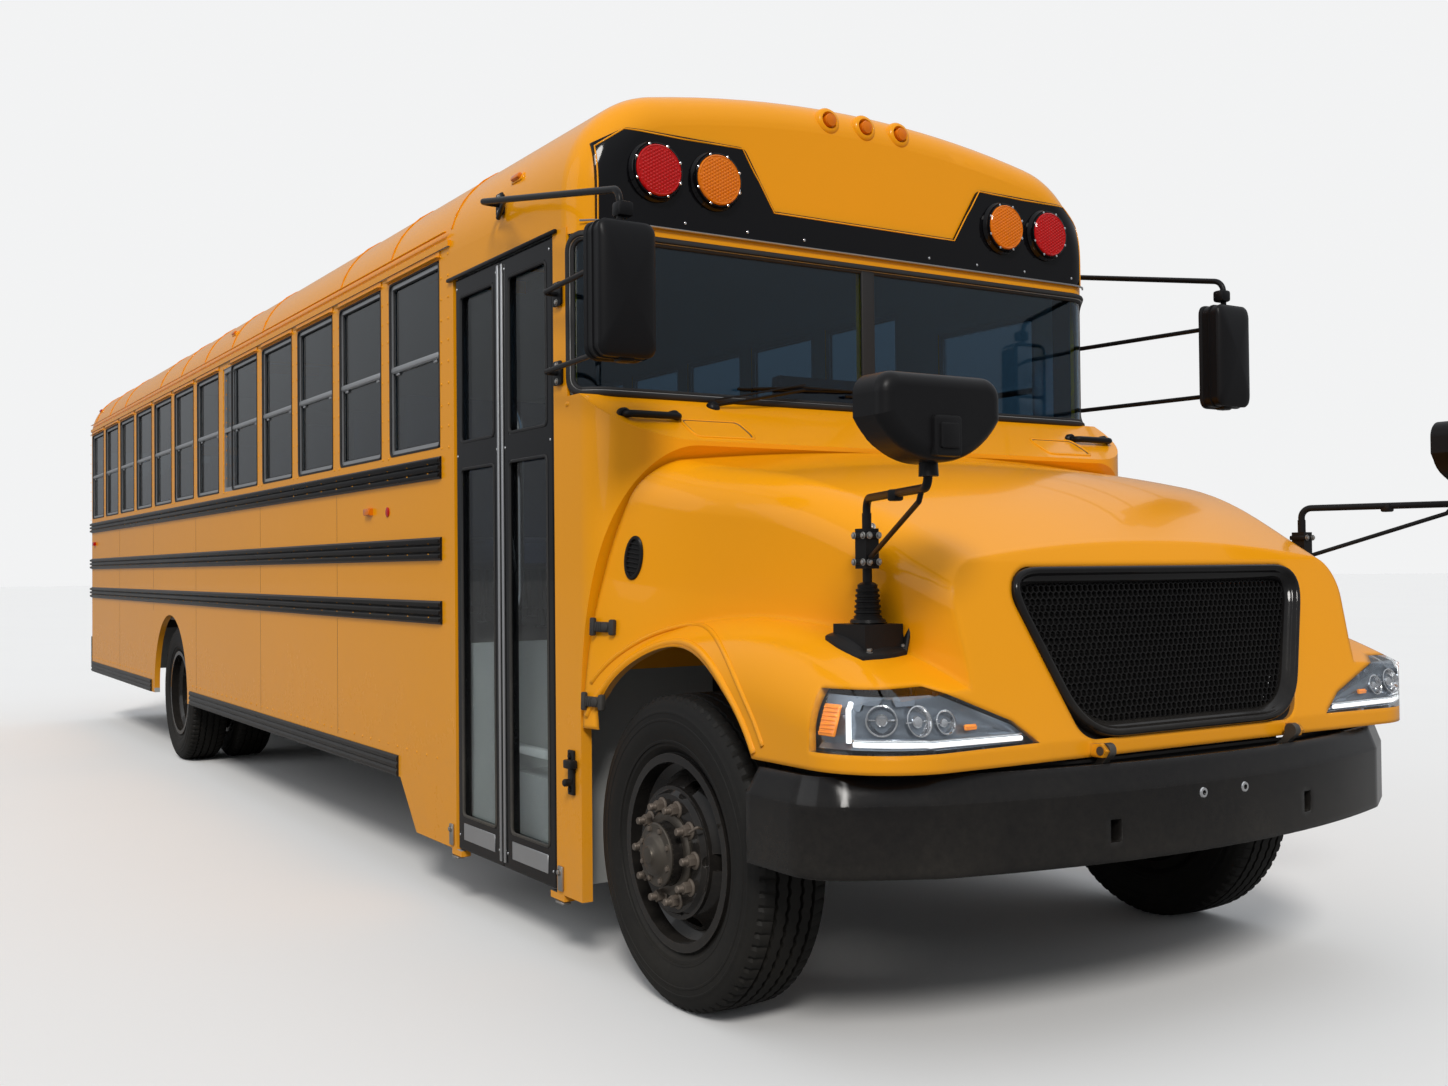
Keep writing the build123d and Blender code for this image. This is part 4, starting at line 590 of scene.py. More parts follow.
def nodeTree(*names):  # the carried-over surfaces, for seating small parts on them
    corners, faces = [], []
    for name in names:
        start = len(corners)
        mesh, matrix = nodes[name].data, nodes[name].matrix_world
        corners.extend(matrix @ v.co for v in mesh.vertices)
        faces.extend([start + i for i in face.vertices] for face in mesh.polygons)
    return BVHTree.FromPolygons(corners, faces)


noseSkin = nodeTree("hood", "cowl", "headlamps", "front_cap")
hoodSkin = nodeTree("hood")


def touchNode(tree, start, way):  # where a line first meets a surface: place and outward direction
    place, normal, _, _ = tree.ray_cast(Vector((ax(start[0]), start[1], start[2])), Vector(way).normalized())
    if place is None:
        raise ValueError("no surface ahead of " + str(start))
    if normal.dot(Vector(way)) > 0:
        normal = -normal
    return Vector((place.x - frontAxle, place.y, place.z)), normal


def touch(start, way):
    return touchNode(noseSkin, start, way)


def onNose(start, way, lift=0.0):  # a point of the nose's skin put along the bus, raised off it by the lift
    place, normal = touch(start, way)
    return place + Vector((frontAxle, 0, 0)) + normal * lift


# Tyres with ribbed tread, shoulder notches and ringed walls; profile rows are (across, radius)
tyreValues = dict(blocks=72, grooveDepth=0.013, zigzag=0.0022, notchDepth=0.009, notchFrom=0.4600)
tyreSide = [(0.0995, 0.2866), (0.1000, 0.3015), (0.1075, 0.3110), (0.1165, 0.3210), (0.1180, 0.3300),
            (0.1220, 0.3315), (0.1232, 0.3380), (0.1222, 0.3400), (0.1262, 0.3550), (0.1300, 0.3700),
            (0.1308, 0.3850), (0.1304, 0.3960), (0.1318, 0.3980), (0.1314, 0.4030), (0.1296, 0.4050),
            (0.1284, 0.4200), (0.1294, 0.4220), (0.1285, 0.4270), (0.1268, 0.4290), (0.1240, 0.4420),
            (0.1190, 0.4540), (0.1130, 0.4620), (0.1075, 0.4680), (0.1020, 0.4730)]
groove = wheelRadius - tyreValues["grooveDepth"]
tyreRibs = [(0.0990, 0.4745), (0.0690, 0.4762), (0.0672, groove), (0.0590, groove), (0.0572, 0.4768),
            (0.0285, 0.4776), (0.0268, groove), (0.0186, groove), (0.0168, 0.4778), (0.0040, 0.4780)]


def tyreShape():
    segments = tyreValues["blocks"] * 4
    half = tyreSide + tyreRibs
    profile = half + [(-y, r) for y, r in reversed(half)]
    corners = []
    for k in range(segments):
        angle = 2 * math.pi * k / segments
        swerve = tyreValues["zigzag"] * (1 if k % 4 < 2 else -1)
        for y, r in profile:
            radius = r
            if abs(y) > 0.0705 and r > tyreValues["notchFrom"] and k % 4 == 0:
                radius = r - tyreValues["notchDepth"] * min(1.0, (r - tyreValues["notchFrom"]) / 0.008)
            across = y + (swerve if abs(y) < 0.069 else 0)
            corners.append(Vector((radius * math.cos(angle), radius * math.sin(angle), across)))
    return corners, gridFaces(segments, len(profile), wrap=True)


wheelRows = [  # name, body, node, x, y of each tyre
    ("tyreFrontRight", "wheel_front_right", "tyre_front_right", 0.0, (-1.045,)),
    ("tyreFrontLeft", "wheel_front_left", "tyre_front_left", 0.0, (1.045,)),
    ("tyresRearRight", "wheels_rear_right", "tyres_rear_right", rearAxle, (-1.040, -0.718)),
    ("tyresRearLeft", "wheels_rear_left", "tyres_rear_left", rearAxle, (1.040, 0.718)),
]
oneTyre = tyreShape()
for name, body, node, x, places in wheelRows:
    piece = Piece()
    for y in places:
        piece.put(oneTyre, facing((x, y, wheelRadius), (0, 1, 0), (1, 0, 0)))
    tyre = piece.make(name, "tyreRubber", body, "tyre", 30)
    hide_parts(node)
print("tyres made")

# Wheel nuts, hub caps and valve stems; a profile's rows are (radius, height)
hubValues = dict(studCircle=0.142875, studs=10, nutRadius=0.0188, nutHeight=0.023, capBolts=8)
hubCaps = {
    "Front": dict(x=0.0, face=1.173, hub=1.219, body="wheel_front_", boltCircle=0.080, boltLift=0.007,
                  profile=[(0.0960, -0.004), (0.0962, 0.004), (0.0930, 0.007), (0.0840, 0.008),
                           (0.0700, 0.008), (0.0640, 0.011), (0.0600, 0.018), (0.0520, 0.023),
                           (0.0330, 0.025), (0.0280, 0.029), (0.0250, 0.034), (0.0160, 0.036), (0, 0.036)]),
    "Rear": dict(x=rearAxle, face=0.893, hub=1.025, body="wheels_rear_", boltCircle=0.094, boltLift=0.001,
                 profile=[(0.0960, -0.02), (0.1080, -0.018), (0.1085, -0.004), (0.1040, 0.000),
                          (0.0900, 0.001), (0.0600, 0.002), (0.0560, 0.010), (0.0500, 0.022),
                          (0.0380, 0.026), (0, 0.027)]), }
hubRing = [(0.128, -0.002), (0.128, 0.006), (0.122, 0.010), (0.104, 0.012), (0.097, 0.012)]


def nutShape():
    piece = Piece()
    r, h = hubValues["nutRadius"], hubValues["nutHeight"]
    piece.put(latheShape([(0, 0), (r * 1.42, 0), (r * 1.42, 0.003), (r * 1.15, 0.006), (0, 0.006)], 20))
    piece.put(plateShape(circle(r, 6), h, 0.003), shift(0, 0, 0.004))
    thread = [(0.0108 if i % 2 else 0.0118, h + 0.002 + i * 0.0024) for i in range(10)]
    end = thread[-1][1] + 0.002
    piece.put(latheShape([(0, h)] + thread + [(0.0095, end), (0, end)], 12))
    return piece.corners, piece.faces


oneNut, smallBolt = nutShape(), boltShape(0.0085, 0.007)
for side, word in ((-1, "Right"), (1, "Left")):
    for end, row in hubCaps.items():
        x, face = row["x"], side * row["face"]
        nuts, caps = Piece(), Piece()
        for u, v in circle(hubValues["studCircle"], hubValues["studs"]):
            nuts.put(oneNut, facing((x + u, face, wheelRadius + v), (0, side, 0)))
        bolts = hubValues["capBolts"]
        for u, v in circle(row["boltCircle"], bolts, math.pi / bolts):
            spot = facing((x + u, side * (row["hub"] + row["boltLift"]), wheelRadius + v), (0, side, 0))
            nuts.put(smallBolt, spot)
        caps.put(latheShape(row["profile"], 40), facing((x, side * row["hub"], wheelRadius), (0, side, 0)))
        caps.put(latheShape(hubRing, 48), facing((x, face, wheelRadius), (0, side, 0)))
        stemX, stemY, stemZ = ax(x + 0.19), side * (row["face"] + 0.004), wheelRadius + 0.10
        stem = [(stemX, stemY, stemZ), (stemX + 0.012, stemY + side * 0.022, stemZ + 0.01),
                (stemX - 0.02, stemY + side * 0.03, stemZ - 0.01)]
        nuts.put(tubeShape(bendPath(stem, 0.01, 4), 0.0042, 8))
        nuts.make("wheelNuts" + end + word, "rustySteel", row["body"] + word.lower(), "wheel_paint", 30)
        caps.make("hubCap" + end + word, "hubBronze", row["body"] + word.lower(), "cast_metal", 35)
print("wheel details made")

# Grille: glossy rounded surround with an inner bevel, a fine honeycomb and the radiator's fins behind it
grilleValues = dict(cell=0.0215, web=0.0034, depth=0.009, setBack=0.020, fins=30, finPitch=0.0145)
foot, top = (1.000, 0.865), (0.880, 1.350)  # the leaning face, x and z
faceLean = math.atan2(foot[0] - top[0], top[1] - foot[1])
onFace = facing((foot[0], 0, foot[1]), (math.cos(faceLean), 0, math.sin(faceLean)), (0, 1, 0))
low, high = -0.003 / math.cos(faceLean), 0.470 / math.cos(faceLean)
grilleOutline = roundOutline([(-0.455, low), (0.455, low), (0.660, high), (-0.660, high)], 0.150, 9)


def inside(point, outline):
    x, y = point
    hit = False
    for (x1, y1), (x2, y2) in zip(outline[-1:] + outline[:-1], outline):
        if (y1 > y) != (y2 > y) and x < (x2 - x1) * (y - y1) / (y2 - y1) + x1:
            hit = not hit
    return hit


surround = Piece()
moulding = [(0.0005, -0.030), (0.0005, 0.004), (0.003, 0.012), (0.009, 0.0165), (0.016, 0.0165),
            (0.022, 0.012), (0.026, 0.003), (0.030, 0.000), (0.044, -0.010), (0.047, -0.018),
            (0.047, -0.034)]
surround.put(ringShape(grilleOutline, moulding), onFace)
surroundPiece = surround.make("grilleSurround", "glossPlastic", "hood_assembly", "black_trim", 50)
mesh = Piece()
pitch = grilleValues["cell"]
rowPitch = pitch * math.sqrt(3) / 2
hole = (pitch - grilleValues["web"]) / math.sqrt(3)
cellRings = [(pitch / math.sqrt(3), 0.0), (hole * 1.08, 0.0), (hole, -0.0015), (hole, -grilleValues["depth"])]
fieldOutline = insetOutline(grilleOutline, 0.040)
for row in range(int(0.52 / rowPitch)):
    v = low + row * pitch * math.sqrt(3) / 2
    for column in range(-34, 35):
        u = (column + (0.5 if row % 2 else 0)) * pitch
        if not inside((u, v), fieldOutline):
            continue
        corners = [Vector((u + radius * math.sin(math.pi / 3 * k), v + radius * math.cos(math.pi / 3 * k),
                           height - grilleValues["setBack"])) for radius, height in cellRings
                   for k in range(6)]
        mesh.put((corners, gridFaces(4, 6)), onFace)
mesh.make("grilleHoneycomb", "blackPlastic", "hood_assembly", "black_trim", 25)
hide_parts("grille")
core = Piece()
core.put(plateShape(insetOutline(grilleOutline, 0.05), 0.004, 0.001), onFace @ shift(0, 0, -0.060))
for k in range(grilleValues["fins"]):
    v = low + 0.03 + k * grilleValues["finPitch"]
    reach = 0.40 + 0.20 * (v - low) / (high - low)
    core.put(boxShape((reach * 2, 0.003, 0.012), 0.0008, 1), onFace @ shift(0, v, -0.052))
backing = [(0.0, -0.062), (0.0, -0.012), (0.060, -0.030), (0.076, -0.062)]
core.put(ringShape(insetOutline(grilleOutline, -0.034), backing), onFace)
core.make("radiatorCore", "blackPlastic", "hood_assembly", "black_trim")

# Bumper: dark valance under the bow, and rings round the two plate holes, which stay open
bumperValues = dict(faceX=1.0982, holeHalf=0.089, holeZ=0.700, sheet=0.006)
valance = Piece()
plan = [(0.60, -1.125), (0.86, -0.930), (0.965, -0.560), (0.985, -0.455)]
plan += [(x, -y) for x, y in reversed(plan)]
path = bendPath([(ax(x), y, 0.0) for x, y in plan], 0.12, 5)
for low, high, lift in ((0.560, 0.806, 0.0), (0.800, 0.808, 0.012)):
    count = len(path)
    corners = [Vector((p.x + x, p.y, z)) for x in (lift, lift - bumperValues["sheet"]) for z in (low, high)
               for p in path]
    faces = []
    for i in range(count - 1):
        for a, b in ((0, 1), (2, 3), (1, 3), (0, 2)):  # rows: outer low and high, inner low and high
            faces.append((a * count + i, a * count + i + 1, b * count + i + 1, b * count + i))
    valance.put((corners, faces))
valance.make("bumperValance", "blackPlastic", "body", "black_trim", 40)
washers = Piece()
for side in sides:
    spot = facing((bumperValues["faceX"], side * bumperValues["holeHalf"], bumperValues["holeZ"]), (1, 0, 0))
    washers.put(latheShape([(0.0072, -0.002), (0.0072, 0.0035), (0.0135, 0.0035), (0.0155, 0.0)], 24), spot)
washers.make("plateWashers", "chrome", "body", "window_frame", 40)
print("grille and bumper made")

# Windshield: rubber surround with a bright bead, centre strip, wipers and grab handles
glassValues = dict(low=1.925, high=2.475, corner=0.062, rubber=0.015, bead=0.0045)
capValues = dict(frontX=-0.490, straightHalf=1.089, cornerRadius=0.130)  # the cab's round corners
cornerRadius, straightHalf = capValues["cornerRadius"], capValues["straightHalf"]
runHalf = straightHalf + cornerRadius * math.acos(0.035 / cornerRadius)


def aroundCab(run, z, out=0.0):  # place on the cab's front, by length along it from the middle
    side = -1 if run < 0 else 1
    length = abs(run)
    if length <= straightHalf:
        return Vector((ax(capValues["frontX"] + out), side * length, z))
    angle = (length - straightHalf) / cornerRadius
    reach = cornerRadius + out
    return Vector((ax(capValues["frontX"] - cornerRadius + reach * math.cos(angle)),
                   side * (straightHalf + reach * math.sin(angle)), z))


def glassLoop(inset, out):
    corner = max(0.01, glassValues["corner"] - inset)
    half, low, high = runHalf - inset, glassValues["low"] + inset, glassValues["high"] - inset
    loop = []
    middles = [(half - corner, low + corner), (half - corner, high - corner), (corner - half, high - corner),
               (corner - half, low + corner)]
    for (cx, cz), start in zip(middles, (-90, 0, 90, 180)):
        for k in range(9):
            angle = math.radians(start + 90 * k / 8)
            loop.append((cx + corner * math.cos(angle), cz + corner * math.sin(angle)))
    return [aroundCab(u, z, out) for u, z in finerLine(loop, 0.035)]


def ledgeLine(half, z, out):  # level line round the cab's front
    return [aroundCab(-half + 2 * half * k / 60, z, out) for k in range(61)]


rubber = Piece()
rubber.put(tubeShape(glassLoop(0.004, 0.001), glassValues["rubber"], 10, closed=True, flat=0.7))
rubber.put(tubeShape(glassLoop(0.021, -0.003), 0.008, 8, closed=True))
rubber.put(spanShape((-0.496, -0.031, 1.930), (-0.484, 0.031, 2.470), 0.005, 3))
rubber.make("windshieldRubber", "rubber", "body", "black_trim", 45)
bead = Piece()
bead.put(tubeShape(glassLoop(0.0135, 0.004), glassValues["bead"], 8, closed=True))
bead.make("windshieldBead", "zincSteel", "body", "window_frame", 45)

wiperValues = dict(blade=0.56, reach=0.40, bladeZ=1.985)
wiperRows = [(-0.720, 1), (0.560, -1)]  # pivot's y, way of the blade along y
wipers = Piece()
bladeZ, reach, half = wiperValues["bladeZ"], wiperValues["reach"], wiperValues["blade"] / 2
for y, way in wiperRows:
    pivot = Vector((ax(-0.452), y, 1.898))
    tip = aroundCab(y + way * reach, bladeZ, 0.024)
    wipers.put(latheShape([(0.026, -0.02), (0.026, 0.004), (0.020, 0.014), (0.010, 0.020), (0, 0.020)], 20),
               Matrix.Translation(pivot) @ facing((-frontAxle, 0, 0), (1, 0, 0.6)))
    arm = [pivot + Vector((0.012, 0, 0.008)), pivot + (tip - pivot) * 0.25 + Vector((0.022, 0, 0.004)),
           tip + Vector((0.006, 0, 0))]
    wipers.put(tubeShape(bendPath(arm, 0.03, 5), 0.0075, 8, flat=0.55))
    second = [point + Vector((0.004, 0, 0.020)) for point in arm]
    wipers.put(tubeShape(bendPath(second, 0.03, 5), 0.0035, 6))
    ends = [aroundCab(y + way * (reach + s * half), bladeZ + s * way * 0.010, 0.012)
            for s in (-1, -0.5, 0, 0.5, 1)]
    wipers.put(tubeShape(ends, 0.0065, 8, flat=0.6))
    bow = [aroundCab(y + way * (reach + s * half), bladeZ + s * way * 0.010 + (1 - abs(s)) * 0.012, 0.022)
           for s in (-0.8, -0.4, 0, 0.4, 0.8)]
    wipers.put(tubeShape(bow, 0.004, 6))
wipers.make("wipers", "blackPlastic", "body", "black_trim", 40)

handleValues = dict(outer=1.125, inner=0.935, z=1.846, standOff=0.042)
handles = Piece()
capTree = nodeTree("front_cap", "cowl")
handleFoot = latheShape([(0.024, -0.01), (0.024, 0.006), (0.018, 0.011), (0, 0.011)], 16)
for side in sides:
    feet = []
    for s in (handleValues["outer"], handleValues["inner"]):
        foot = touchNode(capTree, (1.4, side * s, handleValues["z"]), (-1, 0, 0))[0]
        feet.append(Vector((ax(foot.x), foot.y, foot.z)))
    front = max(foot.x for foot in feet) + handleValues["standOff"]
    path = [feet[0]] + [Vector((front, foot.y, foot.z)) for foot in feet] + [feet[1]]
    handles.put(tubeShape(bendPath(path, 0.022, 6), 0.0125, 12))
    for foot in feet:
        handles.put(handleFoot, facing((foot.x - frontAxle, foot.y, foot.z), (1, 0, 0)))
handles.make("grabHandles", "blackPlastic", "body", "black_trim", 40)
print("windshield details made")

# Warning lamps: bezel, faceted lens and rim screws
lampValues = dict(red=0.930, amber=0.686, z=2.702, lensLift=0.025, screwCircle=0.0925, screws=8,
                  frontX=-0.4797, rearX=-10.4653)
tailRows = [("red", 1.590), ("amber", 1.340)]  # colour, height of the lamps low on the rear


def lensShape(radius, facet):  # a slightly domed field of small hexagon pillows
    piece = Piece()
    disc = [(radius, 0.0), (radius * 0.985, 0.006), (radius * 0.94, 0.0095), (radius * 0.90, 0.0075),
            (0, 0.0115)]
    piece.put(latheShape(disc, 40))
    span = int(radius / facet) + 2
    for row in range(-span, span + 1):
        for column in range(-span, span + 1):
            u = (column + (0.5 if row % 2 else 0)) * facet
            v = row * facet * 0.866
            reach = math.hypot(u, v)
            if reach > radius * 0.86:
                continue
            base = 0.0115 - 0.004 * (reach / radius) ** 1.5
            size = facet * 0.56
            corners = [Vector((u + size * math.sin(math.pi / 3 * k), v + size * math.cos(math.pi / 3 * k),
                               base - 0.001)) for k in range(6)]
            corners.append(Vector((u, v, base + 0.0026)))
            piece.put((corners, [(k, (k + 1) % 6, 6) for k in range(6)]))
    return piece.corners, piece.faces


bigLens, smallLens = lensShape(0.0895, 0.0125), lensShape(0.084, 0.0115)
bezel = latheShape([(0.106, -0.002), (0.106, 0.005), (0.103, 0.009), (0.099, 0.0125), (0.0955, 0.020),
                    (0.0945, 0.0285), (0.0915, 0.0300), (0.0895, 0.0285), (0.0895, 0.024)], 48)
smallBezel = latheShape([(0.104, -0.001), (0.104, 0.006), (0.098, 0.012), (0.091, 0.026), (0.0865, 0.0275),
                         (0.0850, 0.025)], 48)
screw = latheShape([(0.0052, 0), (0.0050, 0.002), (0.0030, 0.0034), (0, 0.0036)], 10)
lensPieces = {"red": Piece(), "amber": Piece()}
bezels, screws = Piece(), Piece()
for facingWay, face in ((1, lampValues["frontX"]), (-1, lampValues["rearX"])):
    for colour, lenses in lensPieces.items():
        for side in sides:
            spot = facing((face, side * lampValues[colour], lampValues["z"]), (facingWay, 0, 0))
            lenses.put(bigLens, spot @ shift(0, 0, lampValues["lensLift"]))
            bezels.put(bezel, spot)
            count = lampValues["screws"]
            for u, v in circle(lampValues["screwCircle"], count, math.pi / count):
                screws.put(screw, spot @ shift(u, v, 0.0285))
for side in sides:
    for colour, z in tailRows:
        spot = facing((-10.4553, side * lampValues["red"], z), (-1, 0, 0))
        lensPieces[colour].put(smallLens, spot @ shift(0, 0, lampValues["lensLift"]))
        bezels.put(smallBezel, spot)
lensPieces["red"].make("redLenses", "redLens", "body", "red_lens", 20)
lensPieces["amber"].make("amberLenses", "amberLens", "body", "amber_lens", 20)
bezels.make("lampBezels", "glossPlastic", "body", "black_trim", 30)
screws.make("lampScrews", "chrome", "body", "window_frame", 30)
print("warning lamps made")


# Headlamps: dark housing, reflectors, white light strip, amber turn lamp and marker behind the clear lens
headlampValues = dict(innerY=0.620, straight=0.315, bend=0.255, sink=0.024, columns=48, rows=10,
                      strip=0.0075, housingFrom=0.035, housingTo=0.690, housingLow=0.875, rim=0.006)
reflectorRows = [(0.500, 0.951, 0.038), (0.392, 0.950, 0.038), (0.302, 0.942, 0.030)]  # run, height, radius
turnRows = [(0.650, 0.952, 0.060, 0.085), (0.222, 0.925, 0.040, 0.016)]  # run, height, then width and height
innerY, straightRun, bendRun = headlampValues["innerY"], headlampValues["straight"], headlampValues["bend"]
outerY = innerY + straightRun


def lampSpot(side, run, z, sink):  # place below the lens, by the distance outwards from its inner point
    if run <= straightRun:
        start, way = (1.5, side * (innerY + run), z), Vector((-1, 0, 0))
    else:
        angle = (run - straightRun) / bendRun
        way = Vector((-math.cos(angle), -side * math.sin(angle), 0))
        start = (0.745 - way.x * 0.7, side * outerY - way.y * 0.7, z)
    place, normal = touch(start, way)
    return place - normal * sink, normal


def lampLine(side, ends, heights, sink, steps):  # path along the lens between two runs and two heights
    points = []
    for i in range(steps + 1):
        run = ends[0] + (ends[1] - ends[0]) * i / steps
        place, _ = lampSpot(side, run, heights[0] + (heights[1] - heights[0]) * i / steps, sink)
        points.append(place + Vector((frontAxle, 0, 0)))
    return points


def lampTop(run):  # height of the lens's upper edge
    y = innerY + run if run <= straightRun else outerY + bendRun * math.sin((run - straightRun) / bendRun)
    if y < 0.700:
        return 0.870 + (y - innerY) * 0.73
    return min(1.024, 0.928 + (y - 0.700) * 0.385)


def bowlShape(radius, depth):
    return latheShape([(radius + 0.003, 0.002), (radius, 0.003), (radius - 0.002, 0.001),
                       (radius * 0.9, -depth * 0.35), (radius * 0.65, -depth * 0.75), (radius * 0.3, -depth),
                       (0, -depth)], 28)


housing, chromeBits, ledBits, turnBits = Piece(), Piece(), Piece(), Piece()
for side in sides:
    corners = []
    columns, rows = headlampValues["columns"], headlampValues["rows"]
    first, last, low = (headlampValues[k] for k in ("housingFrom", "housingTo", "housingLow"))
    for i in range(columns + 1):
        run = first + (last - first) * i / columns
        for j in range(rows + 1):
            z = low + (lampTop(run) - headlampValues["rim"] - low) * j / rows
            ripple = 0.0035 * math.sin(j * 1.9) if 0 < j < rows else -0.012
            place, _ = lampSpot(side, run, z, headlampValues["sink"] + ripple)
            corners.append(place + Vector((frontAxle, 0, 0)))
    housing.put((corners, gridFaces(columns + 1, rows + 1, closed=False)))
    for path in (lampLine(side, (0.055, 0.575), (0.8855, 0.8895), 0.0085, 30),
                 lampLine(side, (0.588, 0.588), (0.893, 0.999), 0.0085, 10)):
        ledBits.put(tubeShape(path, headlampValues["strip"], 8, flat=0.9))
    chromeBits.put(tubeShape(lampLine(side, (0.050, 0.580), (0.897, 0.901), 0.010, 30), 0.0028, 6))
    for run, z, radius in reflectorRows:
        spot = facing(*lampSpot(side, run, z, 0.011))
        chromeBits.put(bowlShape(radius, 0.026), spot)
        bulb = [(radius * 0.40, -0.022), (radius * 0.42, -0.008), (radius * 0.34, -0.004), (0, -0.002)]
        chromeBits.put(latheShape(bulb, 20), spot)
        chromeBits.put(boxShape((0.004, radius * 1.9, 0.006), 0.001, 1), spot @ shift(0, 0, -0.012))
    for run, z, width, height in turnRows:
        spot = facing(*lampSpot(side, run, z, 0.012))
        turnBits.put(boxShape((height, width, 0.010), 0.004, 2), spot)
        for k in range(int(height / 0.011)):
            turnBits.put(boxShape((0.0035, width * 0.92, 0.004), 0.001, 1),
                         spot @ shift(-height / 2 + 0.008 + k * 0.011, 0, 0.006))
housing.make("lampHousings", "lampHousing", "hood_assembly", "black_trim", 60)
chromeBits.make("lampReflectors", "chrome", "hood_assembly", "window_frame", 35)
ledBits.make("lampStrips", "whiteLed", "hood_assembly", "lamp_glass", 50)
turnBits.make("turnLamps", "amberGlow", "hood_assembly", "amber_lens", 35)
print("headlamps made")

# Hood: side vents, rubber latches, contours round the wheel arches
hoodValues = dict(ventAt=(-0.285, 1.375), ventHalf=(0.030, 0.064), ventBars=7, latchRows=(1.150, 0.905),
                  latchWidth=0.034, hinge=(1.035, 0.835), seamRadius=1.523, archZ=0.560, archFrom=29)
beyond = 1.7  # rays towards the hood's side start this far out
lipRows = [(0.556, 0.013, 148), (0.606, 0.009, 138)]  # radius, thickness, end angle
vents, latches, lips = Piece(), Piece(), Piece()
ventHigh, ventWide = hoodValues["ventHalf"]
oval = [(ventWide * math.cos(t), ventHigh * math.sin(t)) for t in (2 * math.pi * k / 28 for k in range(28))]
ventRim = [(-0.008, -0.004), (-0.008, 0.004), (-0.004, 0.008), (0.002, 0.008), (0.006, 0.002),
           (0.007, -0.004)]
for side in sides:
    ventX, ventZ = hoodValues["ventAt"]
    spot = facing(*touch((ventX, side * beyond, ventZ), (0, -side, 0)), (0.18, 0, 1))
    vents.put(ringShape(oval, ventRim), spot)
    vents.put(plateShape(insetOutline(oval, 0.004), 0.0015), spot @ shift(0, 0, -0.001))
    for k in range(hoodValues["ventBars"]):
        u = -0.045 + k * 0.015
        reach = ventHigh * math.sqrt(max(0.05, 1 - (u / ventWide) ** 2)) * 1.7
        vents.put(boxShape((0.004, reach, 0.006), 0.001, 1), spot @ shift(u, 0, 0.004) @
                  Matrix.Rotation(0.5, 4, "Y"))
    hingeX, hingeZ = hoodValues["hinge"]
    for z in hoodValues["latchRows"]:  # the hood's rear edge is an arc round its hinge
        seam = hingeX - math.sqrt(hoodValues["seamRadius"] ** 2 - (z - hingeZ) ** 2)
        spot = facing(*touch((seam + 0.060, side * beyond, z), (0, -side, 0)), (1, 0, 0))
        latches.put(boxShape((0.098, hoodValues["latchWidth"], 0.012), 0.005, 2), spot @ shift(0, 0, 0.010))
        latches.put(boxShape((0.022, 0.052, 0.020), 0.006, 2), spot @ shift(0.040, 0, 0.010))
        latches.put(boxShape((0.020, 0.060, 0.016), 0.005, 2), spot @ shift(-0.044, 0, 0.012))
        latches.put(latheShape([(0.016, 0.010), (0.015, 0.019), (0.011, 0.022), (0, 0.023)], 16),
                    spot @ shift(0.012, 0, 0))
        for k in range(4):
            latches.put(boxShape((0.004, 0.030, 0.003), 0.001, 1), spot @ shift(-0.028 + k * 0.010, 0, 0.017))
    for radius, thick, last in lipRows:
        path = []
        for k in range(65):
            angle = math.radians(hoodValues["archFrom"] + (last - hoodValues["archFrom"]) * k / 64)
            x, z = radius * math.cos(angle), hoodValues["archZ"] + radius * math.sin(angle)
            path.append(onNose((x, side * beyond, z), (0, -side, 0), -thick * 0.35))
        lips.put(tubeShape(path, thick, 10))
vents.make("hoodVents", "blackPlastic", "hood_assembly", "black_trim", 40)
latches.make("hoodLatches", "rubber", "hood_assembly", "black_trim", 40)
lips.make("archLips", "hoodPaint", "hood_assembly", "body_paint", 60)

# Cowl: recessed panels below the windshield, a ledge roll and seams
cowlValues = dict(panelY=(0.685, 0.925), panelZ=(1.772, 1.838), ledgeHalf=1.262)
cowlBits, cowlDark = Piece(), Piece()
for side in sides:
    outline = roundFrame(*cowlValues["panelY"], *cowlValues["panelZ"], 0.022, 4)
    path = [onNose((0.6, side * u, z), (-1, 0, 0)) for u, z in finerLine(outline, 0.03)]
    cowlBits.put(tubeShape(path, 0.0055, 8, closed=True))
    inner = [p + (sum(path, Vector()) / len(path) - p) * 0.06 for p in path]
    cowlDark.put(tubeShape(inner, 0.0022, 6, closed=True))
cowlBits.put(tubeShape(ledgeLine(cowlValues["ledgeHalf"], 1.898, 0.002), 0.010, 10))
cowlDark.put(tubeShape(ledgeLine(cowlValues["ledgeHalf"], 1.882, 0.0004), 0.0022, 6))
cowlBits.make("cowlPanels", "yellowPaint", "body", "body_paint", 60)
cowlDark.make("cowlSeams", "darkTrim", "body", "black_trim", 60)
print("hood and cowl details made")

# Crossover mirrors: glass, boss, collar rings, clamps and bolts
crossValues = dict(y=1.159, glassZ=1.683, backZ=1.640, half=0.165, postX=0.690, postY=0.949, footTop=1.168)
mirrorGlass, mirrorTrim, mirrorBolts = Piece(), Piece(), Piece()
crossTree = nodeTree("crossover_mirrors")
smallHead = boltShape(0.0065, 0.006)
half = crossValues["half"]
arc = [(half * math.cos(t), 0.004 - 0.090 * math.sin(t)) for t in (math.pi * k / 18 for k in range(1, 18))]
top = bendPath([(half, 0.004, 0), (half, 0.080, 0), (-half, 0.080, 0), (-half, 0.004, 0)], 0.040, 6)
lensLine = [(p.x * 0.94, p.y * 0.95) for p in top] + [(-x * 0.94, y * 0.95) for x, y in arc]
lensRim = [(0.0, -0.004), (0.0, 0.006), (0.003, 0.009), (0.009, 0.009), (0.013, 0.004)]
